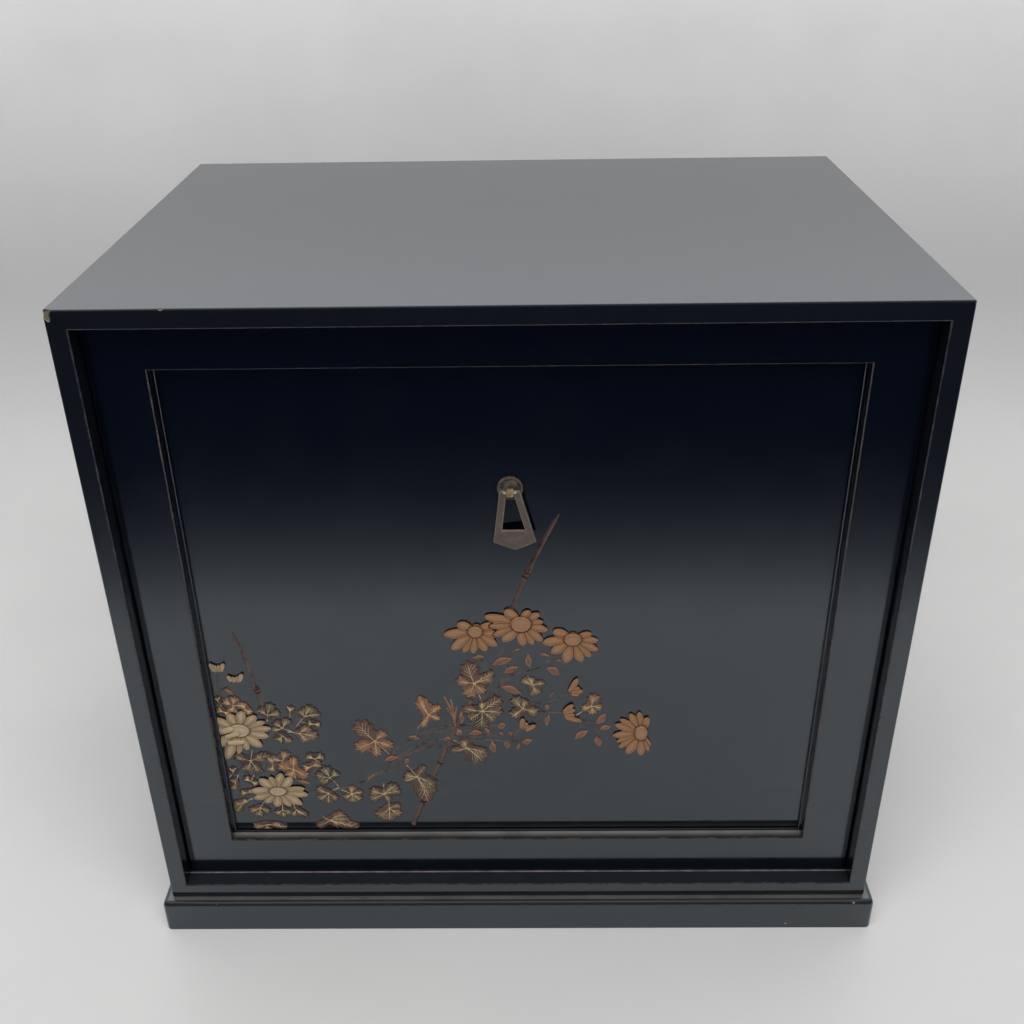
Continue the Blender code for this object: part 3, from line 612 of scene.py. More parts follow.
@dataclass(frozen=True, kw_only=True)
class PatchedFinish(Finish):
    """A ground with a second colour over it in soft patches of a real size."""

    under: str
    over: str
    patch: Grain = Grain(2.5, 4.0)
    start: float = 0.30
    end: float = 0.55

    def colour(self, tree: Tree, shader: Node) -> Socket:
        """Mix the two colours in patches."""
        return lay(tree, self.under, self.over, span(tree, self.patch, self.start, self.end))


@dataclass(frozen=True, kw_only=True)
class RubbedEdge(PatchedFinish):
    """Lacquer worn thin on an arris: its reddish undercoat and grey ground show in dashes. On the case's
    arrises and the groove lip its pale colour is also a painted highlight.
    """

    ior: float = 1.7
    patch: Grain = Grain(5.0, 4.0)
    bumps: Grain = Grain(0.8)
    bump_mm: float = 0.05


@dataclass(frozen=True, kw_only=True)
class BareWood(PatchedFinish):
    """Broken wood and ground coat where a flake is gone: dry, pale grey-brown, fibrous."""

    under: str = "#4a433a"
    over: str = "#928a7c"
    patch: Grain = Grain(0.7, 4.0, (4.0, 1.0, 1.0))
    end: float = 0.7
    bumps: Grain = Grain(0.7, 4.0, (4.0, 1.0, 1.0))
    bump_mm: float = 0.25


@dataclass(frozen=True, kw_only=True)
class Brushwork(PatchedFinish):
    """A raised lacquer line or stalk: one powder over a darker ground, rubbed through in spots."""

    bumps: Grain = Grain(0.6)


@dataclass(frozen=True)
class CarvedInlay(Finish):
    """Carved inlay rubbed to a satin: lighter on the crests, partly rubbing and partly painted highlight,
    and brown in the grooves, partly dirt and partly painted shade.
    """

    bump_mm: float = 0.05
    slot: str = "tan_inlay"
    crest_rub_and_highlight: str = "#a9805e"
    body: str = "#a07754"
    groove: str = "#4a3020"
    stain: str = "#a8643c"
    stain_share: float = 0.35
    dirt_share: float = 0.22

    def colour(self, tree: Tree, shader: Node) -> Socket:
        """Colour by the carving's depth, darker in the grooves and lighter on the crests as painted shade
        and highlight, with mottling and stained patches.
        """
        # Painted shade in the grooves and painted highlight on the crests, by the carving's height; the
        # groove colour also stands for dirt
        low = lay(tree, self.groove, self.body, span(tree, "carving", 0.05, 0.45))
        high = lay(tree, low, self.crest_rub_and_highlight, span(tree, "carving", 0.55, 0.95))
        stained = lay(tree, high, self.stain, span(tree, Grain(3.2), 0.46, 0.72, 0.0, self.stain_share))
        return lay(tree, stained, self.groove, span(tree, Grain(0.6), 0.25, 0.75, 0.0, self.dirt_share))


@dataclass(frozen=True)
class SprinkledLeaf(Finish):
    """Raised lacquer leaves: dusky grounds sprinkled with red-brown, orange and gold powders, with
    painted shade at their rims.
    """

    ground: str = "#2b2929"
    rose: str = "#6a4a41"
    orange: str = "#9c6847"
    gold: str = "#ae976b"
    rim_painted_shade: str = "#241d1a"
    rim_painted_shade_share: float = 0.7

    def colour(self, tree: Tree, shader: Node) -> Socket:
        """Lay each powder over the last by its share, in a fine sprinkle, then darken the rim as painted
        shade.
        """
        mixed = self.ground
        sprinkle = span(tree, Grain(0.45, 4.0), 0.28, 0.6, 0.55, 1.0)
        cloud = span(tree, Grain(4.0), 0.25, 0.7, 0.55, 1.0)
        for name, powder in (("rose", self.rose), ("warm", self.orange), ("gild", self.gold)):
            share = add_node(tree, "ShaderNodeAttribute", attribute_name=name).outputs["Fac"]
            mixed = lay(tree, mixed, powder, share, sprinkle, cloud)
        # Painted shade: darker towards the rim of each leaf and leaflet
        return lay(tree, mixed, self.rim_painted_shade, span(tree, "carving", 0.0, 0.4, self.rim_painted_shade_share, 0.0))


@dataclass(frozen=True)
class AgedMetal(Finish):
    """Cast copper alloy with a brown skin: soft mottling, and brighter where hands touch it."""

    metallic: float = 0.45
    bumps: Grain = Grain(0.4)
    bump_mm: float = 0.02
    uneven: Grain | None = Grain(1.2)
    skin: str = "#6b625a"
    bright: str = "#7f766b"
    blush: str = "#77645c"
    blush_share: float = 0.5
    bright_start: float = 0.45
    bright_end: float = 0.85

    def colour(self, tree: Tree, shader: Node) -> Socket:
        """Mix the skin with rubbed and reddish patches."""
        rubbed = lay(tree, self.skin, self.bright,
                     span(tree, Grain(2.0, 4.0), self.bright_start, self.bright_end))
        return lay(tree, rubbed, self.blush, span(tree, Grain(5.0, 2.0), 0.5, 0.7, 0.0, self.blush_share))


LACQUER = PolishedLacquer("roiro lacquer", roughness=0.12, ior=1.9)
CASE_LACQUER = PolishedLacquer("roiro lacquer of the case", roughness=0.12, ior=1.85, ground="#14161b")
DUSTY = PolishedLacquer("dusty lacquer ledge", roughness=0.2, ior=1.85, film="#8f8c86", film_share=0.38)
# Painted shade: a dark colour on the inlays' sides and on the walls of their seats, in place of the shade
# in the gap round each inlay
INLAY_GAP_SHADE = PolishedLacquer("painted shade round inlay", roughness=0.35, ground="#1a1210", film_share=0.0)
# Partly wear, partly painted highlight: the grey on the case's arrises also stands for the thin light
# lines along them
CASE_EDGE_RUB_AND_HIGHLIGHT = RubbedEdge("rubbed case edge and painted highlight", roughness=0.25, under="#15171d", over="#35363c",
                       start=0.3, end=0.7)
DOOR_EDGE = RubbedEdge("rubbed door edge", roughness=0.25, under="#141519", over="#4c3d39",
                       start=0.4, end=0.8)
# Painted highlight: the lip's pale colour stands for the light line at the door's foot
LIP_PAINTED_HIGHLIGHT = RubbedEdge("groove lip painted highlight", roughness=0.3, under="#5e585b", over="#8b8387",
                 start=0.25, end=0.75)
WOOD = BareWood("bare wood", roughness=0.8)
TAN = CarvedInlay("tan inlay", roughness=0.45)
CREAM = CarvedInlay("cream inlay", roughness=0.45, slot="cream_inlay", crest_rub_and_highlight="#c5af90",
                    body="#ae9675", groove="#5a4632", stain="#a68964", stain_share=0.3)
LEAF = SprinkledLeaf("sprinkled leaf lacquer", roughness=0.42)
LEAFLET = SprinkledLeaf("sprinkled leaflet lacquer", roughness=0.42, rose="#6b473d", orange="#b97f5e")
VEIN = Brushwork("gold vein", roughness=0.42, over="#d8c292", under="#98805b", metallic=0.1)
STALK = Brushwork("stalk lacquer", roughness=0.35, over="#5c544e", under="#292523")
BAMBOO = Brushwork("bamboo lacquer", roughness=0.26, ior=1.65, over="#523a35", under="#2e1f1c")
STRAW = Brushwork("straw lacquer", roughness=0.45, over="#9b6f53", under="#5f4030")
BRONZE = AgedMetal("brown bronze", roughness=0.5, skin="#695f56", bright="#81776b")
BRONZE_EDGE = AgedMetal("rubbed bronze edge", roughness=0.4, skin="#958c7e", bright="#bdb29c")
BRASS = AgedMetal("rubbed brass", roughness=0.3, skin="#97835b", bright="#dccba2", blush="#8a734f")
PLATE = AgedMetal("mottled bronze plate", roughness=0.42, skin="#4f4842", bright="#8a8074",
                  bright_start=0.42, bright_end=0.66)
STEEL = AgedMetal("bright pin", roughness=0.25, skin="#dcd8cf", bright="#f4f1ea", blush="#c9c2b6")


# The sheet, and forms carved on it


@dataclass(frozen=True)
class Sheet:
    """The drawing sheet on the door's field, in millimetres."""

    corner: Place
    origin: Vector
    low: Place
    high: Place

    def place(self, flat: np.ndarray, height: np.ndarray) -> np.ndarray:
        """Lay rows of across and up on the field, each at its height above it, as x, y and z."""
        return np.column_stack((self.origin.x + (flat[:, 0] - self.corner[0]) * MM,
                                self.origin.y - height * MM,
                                self.origin.z + (flat[:, 1] - self.corner[1]) * MM))

    def flatten(self, places: np.ndarray) -> np.ndarray:
        """Turn rows of x, y and z in metres back into across and up in millimetres."""
        return np.column_stack(((places[:, 0] - self.origin.x) / MM + self.corner[0],
                                (places[:, 2] - self.origin.z) / MM + self.corner[1]))

    def outside(self, flat: np.ndarray) -> np.ndarray:
        """Distance past the edge of the visible field, negative inside it."""
        return np.max(np.column_stack((self.low[0] - flat[:, 0], flat[:, 0] - self.high[0],
                                       self.low[1] - flat[:, 1], flat[:, 1] - self.high[1])),
                      axis=1)


def ease(value: np.ndarray) -> np.ndarray:
    """Rise smoothly from 0 to 1 as the value goes from 0 to 1."""
    held = np.clip(value, 0.0, 1.0)
    return held * held * (3.0 - 2.0 * held)


def ripple(value: np.ndarray, middle: float, width: float) -> np.ndarray:
    """A smooth hump of height 1 round a middle value."""
    return np.exp(-((value - middle) / width) ** 2)


@dataclass(frozen=True)
class Carving:
    """A form on the sheet: how far a place is from its outline, and how high it stands there."""

    heart: Place
    gap: Field
    height: Field
    farthest: float
    spans_gaps: bool = True

    def reach(self, angles: np.ndarray) -> np.ndarray:
        """Find how far the form reaches from its heart in each direction.

        Args:
            angles: Directions on the sheet, in radians.

        Returns:
            Reaches in millimetres.
        """
        step = 0.1
        lengths = np.arange(step, self.farthest, step)
        flat = np.stack((self.heart[0] + np.cos(angles)[:, None] * lengths,
                         self.heart[1] + np.sin(angles)[:, None] * lengths), axis=-1)
        gap = self.gap(flat.reshape(-1, 2)).reshape(len(angles), -1)
        inside = gap < 0.0
        inside[:, 0] = True
        if self.spans_gaps:
            last = inside.shape[1] - 1 - np.argmax(inside[:, ::-1], axis=1)
        else:
            last = np.argmin(np.column_stack((inside, np.zeros(len(angles), bool))), axis=1) - 1
        rows = np.arange(len(angles))
        after = np.minimum(last + 1, len(lengths) - 1)
        before_gap, after_gap = gap[rows, last], gap[rows, after]
        share = np.where(after > last, before_gap / (before_gap - after_gap - 1e-9), 0.0)
        return np.maximum(lengths[last] + np.clip(share, 0.0, 1.0) * step, 0.6)


def carve(name: str, sheet: Sheet, form: Carving, columns: int, rings: int, foot: float,
          grown: float = 0.0) -> Item:
    """Wrap a grid round a form's heart and raise it to the form's height.

    The grid's columns become directions round the heart and its rows rings from the heart out to
    the edge, down the side to the foot and back under to the heart, so the form is closed.

    Args:
        name: The object's name.
        sheet: The sheet the form is drawn on.
        form: The form.
        columns: How many directions the grid has.
        rings: How many rings there are from the heart to the edge.
        foot: How deep the form is let in, in millimetres.
        grown: How far the outline is moved outwards, in millimetres.

    Returns:
        The form, with its faces pointing out.
    """
    rows = rings + 2
    bpy.ops.mesh.primitive_grid_add(x_subdivisions=columns, y_subdivisions=rows, size=1.0)
    item = bpy.context.object
    item.name = name
    places = vertex_places(item)
    column = np.mod(np.rint((places[:, 0] + 0.5) * columns), columns)
    row = np.rint((places[:, 1] + 0.5) * rows)
    directions = np.arange(columns) / columns * math.tau
    edge = (form.reach(directions) + grown)[column.astype(int)]
    angle = directions[column.astype(int)]
    share = np.clip(row / rings, 0.0, 1.0)
    share[row == rows] = 0.0
    flat = np.column_stack((form.heart[0] + edge * share * np.cos(angle),
                            form.heart[1] + edge * share * np.sin(angle)))
    height = form.height(flat)
    height[row > rings] = -foot
    height[row == 0] = form.height(np.array([form.heart]))[0]
    item.data.vertices.foreach_set("co", sheet.place(flat, height).astype(np.float32).ravel())
    item.data.update()
    weld(item)
    return item


@dataclass(frozen=True)
class Petals:
    """Petals as long rounded blades, each from a root to a tip."""

    roots: np.ndarray
    tips: np.ndarray
    widths: np.ndarray
    root_share: float = 0.7
    point: float = 1.0

    def half_width(self, along: np.ndarray) -> np.ndarray:
        """Half-width of each blade at a share of its length, over its greatest half-width."""
        swell = self.root_share + (1.0 - self.root_share) * ease(along / 0.6)
        taper = 1.0 - np.clip(along, 0.0, 1.0) ** (4.4 / self.point)
        return swell * taper ** (0.6 * self.point)

    def gaps(self, flat: np.ndarray) -> np.ndarray:
        """Distance of each place from each blade, negative inside it."""
        axes = self.tips - self.roots
        lengths = np.linalg.norm(axes, axis=1)
        axes = axes / lengths[:, None]
        offset = flat[:, None, :] - self.roots[None, :, :]
        along = np.sum(offset * axes[None], axis=2) / lengths
        aside = np.abs(offset[..., 0] * axes[:, 1] - offset[..., 1] * axes[:, 0])
        held = np.clip(along, 0.0, 0.995)
        width = self.half_width(held) * self.widths
        nudge = 0.02
        slope = (self.half_width(np.clip(held + nudge, 0, 1))
                 - self.half_width(np.clip(held - nudge, 0, 1))) * self.widths
        slope = slope / (2 * nudge * lengths)
        beyond = np.maximum(np.maximum(along - 1.0, -along), 0.0) * lengths
        side = (aside - width) / np.sqrt(1.0 + slope ** 2)
        return np.where(beyond > 0.0, np.hypot(np.maximum(side, 0.0), beyond), side)


def strokes(blades: Sequence[Stroke], root_share: float) -> Petals:
    """Make petals from rows of root, tip and half-width."""
    roots, tips, widths = (np.array(part, float) for part in zip(*blades))
    return Petals(roots, tips, widths, root_share)


@dataclass(frozen=True)
class Flower:
    """A bloom or a bud: its node's name, its disc and the tips of its petals, in millimetres."""

    node: str
    look: CarvedInlay
    heart: Place
    disc: Place
    tips: tuple[Place, ...] = ()
    blades: tuple[Stroke, ...] = ()
    folded: tuple[Stroke, ...] = ()
    fullness: float = 1.32
    widest: float = 3.0
    lift: float = 0.0

    def petals(self) -> Petals:
        """Lay the petals out as given, or each as wide as the room between its neighbours."""
        if self.blades:
            return strokes(self.blades, 0.85)
        tips = np.array(self.tips, float)
        heart = np.array(self.heart)
        reach = np.linalg.norm(tips - heart, axis=1)
        angle = np.arctan2(tips[:, 1] - heart[1], tips[:, 0] - heart[0])
        order = np.argsort(angle)
        tips, reach, angle = tips[order], reach[order], angle[order]
        after = np.mod(np.roll(angle, -1) - angle, math.tau)
        before = np.roll(after, 1)
        room = np.minimum(np.minimum(after, before) * 1.35, (after + before) / 2)
        widths = np.clip(room / 2 * reach * 0.62 * self.fullness, 0.9, self.widest)
        direction = np.column_stack((np.cos(angle), np.sin(angle)))
        inner = 1.0 / np.hypot(direction[:, 0] / self.disc[0], direction[:, 1] / self.disc[1])
        roots = heart + direction * (inner * 0.55)[:, None]
        return Petals(roots, tips, widths)

    def disc_gap(self, flat: np.ndarray) -> np.ndarray:
        """Distance from the disc's edge, negative inside it."""
        offset = (flat - np.array(self.heart)) / np.array(self.disc)
        return (np.linalg.norm(offset, axis=1) - 1.0) * min(self.disc)

    def carving(self, sheet: Sheet, under: "Flower | None" = None) -> Carving:
        """Work out the flower's form.

        Args:
            sheet: The sheet it is drawn on.
            under: A flower that lies over this one and cuts it off, if there is one.

        Returns:
            The form.
        """
        petals = self.petals()
        folded = strokes(self.folded, 0.8) if self.folded else None
        cover = under.carving(sheet) if under else None

        def gap(flat: np.ndarray) -> np.ndarray:
            """Distance from the flower's outline."""
            reach = np.minimum(petals.gaps(flat).min(axis=1), self.disc_gap(flat))
            if folded:
                reach = np.minimum(reach, folded.gaps(flat).min(axis=1))
            reach = np.maximum(reach, sheet.outside(flat))
            if cover:
                reach = np.maximum(reach, 0.5 - cover.gap(flat))
            return reach

        def height(flat: np.ndarray) -> np.ndarray:
            """How high the carving stands."""
            gaps = np.sort(petals.gaps(flat), axis=1)
            own = np.maximum(-gaps[:, 0], 0.0)
            between = (gaps[:, 1] - gaps[:, 0]) / 2 if gaps.shape[1] > 1 else own
            edge = np.minimum(own + 0.22, between)
            blade = (0.45 + 0.5 * ease(edge / 0.34) - 0.2 * ripple(edge, 0.95, 0.28)
                     + 0.28 * ease((edge - 0.9) / 1.1))
            if self.blades:
                return blade + 0.15 + self.lift
            disc = self.disc_gap(flat)
            blade -= 0.3 * ripple(disc, 0.3, 0.6)
            dome = (1.1 + 0.34 * ripple(disc, -0.5, 0.3) + 0.35 * ease(-disc / 4.0)
                    - 0.5 * ripple(disc, 0.0, 0.2))
            result = np.where(disc < 0.0, dome, blade)
            if folded:
                fold = np.maximum(-folded.gaps(flat).min(axis=1), 0.0)
                result = np.where(fold > 0.0, 1.05 + 0.75 * ease(fold / 0.9), result)
            return result + self.lift

        farthest = float(np.linalg.norm(petals.tips - self.heart, axis=1).max()) + 3.0
        return Carving(self.heart, gap, height, farthest, spans_gaps=under is None)


@dataclass(frozen=True)
class Leaf:
    """A lobed leaf: its heart, where its stalk joins, and its lobes as (x, z, radius, tint)."""

    heart: Place
    stalk: Place
    lobes: tuple[tuple[float, float, float, Tint], ...]
    body: float = 1.4
    blend_mm: float = 0.75
    grow: float = 1.16
    neck: float = 0.58
    teeth: int = 7
    tooth_share: float = 0.19
    side_veins: int = 4

    def gaps(self, flat: np.ndarray) -> np.ndarray:
        """Distance of each place from each lobe, negative inside it."""
        heart = np.array(self.heart)
        axes = np.array([lobe[:2] for lobe in self.lobes]) - heart
        radii = np.array([lobe[2] for lobe in self.lobes]) * self.grow
        offset = flat[:, None, :] - heart
        along = np.clip((offset * axes).sum(axis=2) / ((axes ** 2).sum(axis=1) + 0.01), 0.0, 1.0)
        tip = offset - axes
        turn = np.arctan2(tip[..., 1], tip[..., 0]) - np.arctan2(axes[:, 1], axes[:, 0])
        teeth = 1.0 + self.tooth_share * np.cos(self.teeth * turn) * ease(along)
        edge = radii * (self.neck + (1.0 - self.neck) * along) * teeth
        return np.linalg.norm(offset - axes * along[..., None], axis=2) - edge

    def carving(self, sheet: Sheet, lift: float) -> Carving:
        """Work out the leaf's form.

        Args:
            sheet: The sheet it is drawn on.
            lift: How much higher it lies than the lowest leaf, in millimetres.

        Returns:
            The form.
        """
        heart = np.array(self.heart)

        def gap(flat: np.ndarray) -> np.ndarray:
            """Distance from the leaf's outline, with the lobes run together."""
            middle = np.linalg.norm(flat - heart, axis=1) - self.body
            every = np.column_stack((self.gaps(flat), middle))
            run = -self.blend_mm * np.log(np.exp(-every / self.blend_mm).sum(axis=1))
            return np.maximum(run, sheet.outside(flat))

        def height(flat: np.ndarray) -> np.ndarray:
            """How high the leaf stands: cushioned lobes with creases between them."""
            inside = np.maximum(-gap(flat), 0.0)
            first = np.sort(self.gaps(flat), axis=1)
            crease = ripple(first[:, 1] - first[:, 0], 0.0, 0.7) if len(self.lobes) > 1 else 0.0
            return (0.22 + 0.3 * ease(inside / 0.5) + 0.24 * ease((inside - 0.3) / 1.6)
                    - 0.16 * crease * ease(inside / 0.6) + lift)

        farthest = max(math.hypot(x - heart[0], z - heart[1]) + radius + 2.0
                       for x, z, radius, _ in self.lobes)
        return Carving(self.heart, gap, height, farthest)

    def tints(self, flat: np.ndarray) -> np.ndarray:
        """Shares of red-brown, orange and gold at each place, blended between the lobes."""
        weight = np.exp(-self.gaps(flat) / 1.2)
        shares = np.array([lobe[3].value for lobe in self.lobes])
        return weight @ shares / weight.sum(axis=1)[:, None]

    def veins(self) -> list[tuple[np.ndarray, np.ndarray, np.ndarray, float, bool]]:
        """Work the veins out: from the stalk to the heart, and a branching fan into each lobe.

        Returns:
            For each vein its start, middle and end on the sheet, its thickness share and
            whether it is cut off at the leaf's edge.
        """
        heart, stalk = np.array(self.heart), np.array(self.stalk)
        lines = [(stalk, (stalk + heart) / 2, heart, 1.0, False)]
        for x, z, radius, _ in self.lobes:
            axis = np.array((x, z)) - heart
            length = float(np.linalg.norm(axis)) + 1e-6
            axis = axis / length
            aside = np.array((-axis[1], axis[0]))
            end = heart + axis * (length + radius * 0.95)
            lines.append((heart, (heart + end) / 2 + aside * radius * 0.12, end, 0.9, True))
            for index in range(self.side_veins):
                share = 0.34 + 0.7 * index / (self.side_veins - 1)
                start = heart + axis * length * share + aside * radius * 0.08 * min(share, 0.8)
                reach = radius * (self.neck + (1.0 - self.neck) * min(share, 1.0)) * self.grow
                for turn in (1.0, -1.0) if share > 0.5 else ((1.0, -1.0)[index % 2],):
                    spur = start + axis * turn * 0.06 * length
                    bend = spur + (axis * 0.60 + aside * turn * 0.36) * reach
                    tip = spur + (axis * 1.05 + aside * turn * 0.95) * reach
                    lines.append((spur, bend, tip, 0.62, True))
        return lines


FLOWERS = (
    Flower("bloom_upper_left", TAN, (-18.5, 186.0), (3.6, 3.2),
           ((-34, 184.5), (-27, 191.3), (-17, 190.6), (-9, 190.5), (-7, 184), (-8, 177.5),
            (-13.5, 174.5), (-20, 173.2), (-24.5, 173.8), (-30.5, 175.5))),
    Flower("bloom_upper_middle", TAN, (4.0, 190.5), (5.0, 4.4),
           ((-13.5, 195.5), (-3.5, 199.3), (8, 198.8), (13, 197), (15, 192), (17, 187),
            (14.5, 180.5), (10, 178.3), (5, 177.8), (-5, 180.3), (-9.5, 184), (-11.5, 189.5)),
           lift=0.2),
    Flower("bloom_upper_right", TAN, (29.5, 181.0), (4.2, 3.5),
           ((20, 186.7), (14.5, 179.5), (19, 173), (26, 167), (34, 167.5), (38.5, 170.5),
            (42, 174.5), (42, 180.5), (38.5, 184.8), (29.5, 185.4))),
    Flower("bloom_right", TAN, (65.5, 121.5), (3.4, 4.6),
           ((64, 135.5), (68.5, 132), (69.3, 122), (71, 113), (70, 109.5), (66, 106.5),
            (58.7, 107.5), (54.5, 112), (53, 115.8), (51, 120), (52, 127.5), (54.5, 131),
            (59.5, 134.5))),
    Flower("bloom_left_high", CREAM, (-143.0, 124.5), (5.5, 4.0),
           ((-140, 137.5), (-147, 136), (-156, 133), (-161, 125), (-158, 113), (-152, 105.5),
            (-145, 109), (-140, 111.5), (-132.5, 113.5), (-128, 120.5), (-126, 126),
            (-129, 130.5), (-133, 134.5)),
           folded=(((-151.5, 124.0), (-145.0, 126.5), 1.9), ((-150.5, 120.5), (-142, 123.5), 1.7),
                   ((-150.0, 116.5), (-140.5, 117.0), 1.7))),
    Flower("bloom_left_low", CREAM, (-127.5, 82.5), (4.5, 2.7),
           ((-136.5, 91.5), (-130.5, 93), (-124.5, 95.5), (-119, 92.5), (-113, 84.5),
            (-111.5, 80), (-115.5, 73), (-122, 72), (-129, 71.5), (-135, 74.5), (-141, 77.5),
            (-142, 83))),
    Flower("bud_left_high", CREAM, (-148.7, 163.8), (1.2, 0.9),
           blades=(((-150.2, 163.2), (-152.1, 168.0), 1.3), ((-149.2, 162.8), (-150.0, 166.9), 1.2),
                   ((-148.2, 162.8), (-147.6, 166.9), 1.2), ((-147.2, 163.2), (-145.2, 168.0), 1.3))),
    Flower("bud_left_low", CREAM, (-140.5, 157.0), (1.2, 0.9),
           blades=(((-142.2, 156.8), (-144.2, 160.2), 1.3), ((-141.0, 156.2), (-141.6, 159.5), 1.2),
                   ((-139.8, 156.2), (-139.2, 159.8), 1.2), ((-138.9, 156.8), (-136.6, 161.4), 1.4))),
    Flower("bud_right_high", TAN, (29.2, 149.0), (1.3, 1.2),
           blades=(((28.6, 149.0), (32.2, 157.3), 1.7), ((29.0, 148.4), (34.9, 149.4), 1.6),
                   ((28.8, 149.2), (33.4, 151.6), 1.2), ((29.2, 147.8), (33.0, 146.8), 1.3))),
    Flower("bud_right_middle", TAN, (26.6, 134.2), (1.4, 1.6),
           blades=(((25.8, 136.0), (30.2, 140.6), 1.6), ((25.4, 134.8), (31.2, 137.3), 1.6),
                   ((25.8, 133.4), (31.2, 133.8), 1.6), ((26.8, 132.4), (34.6, 129.6), 1.5))),
    Flower("bud_right_low", TAN, (5.0, 125.4), (1.5, 1.3),
           blades=(((3.9, 125.6), (4.4, 131.9), 1.5), ((4.6, 125.0), (6.6, 129.0), 1.4),
                   ((5.4, 124.6), (8.4, 126.8), 1.4), ((5.8, 124.2), (11.0, 127.4), 1.5))),
)

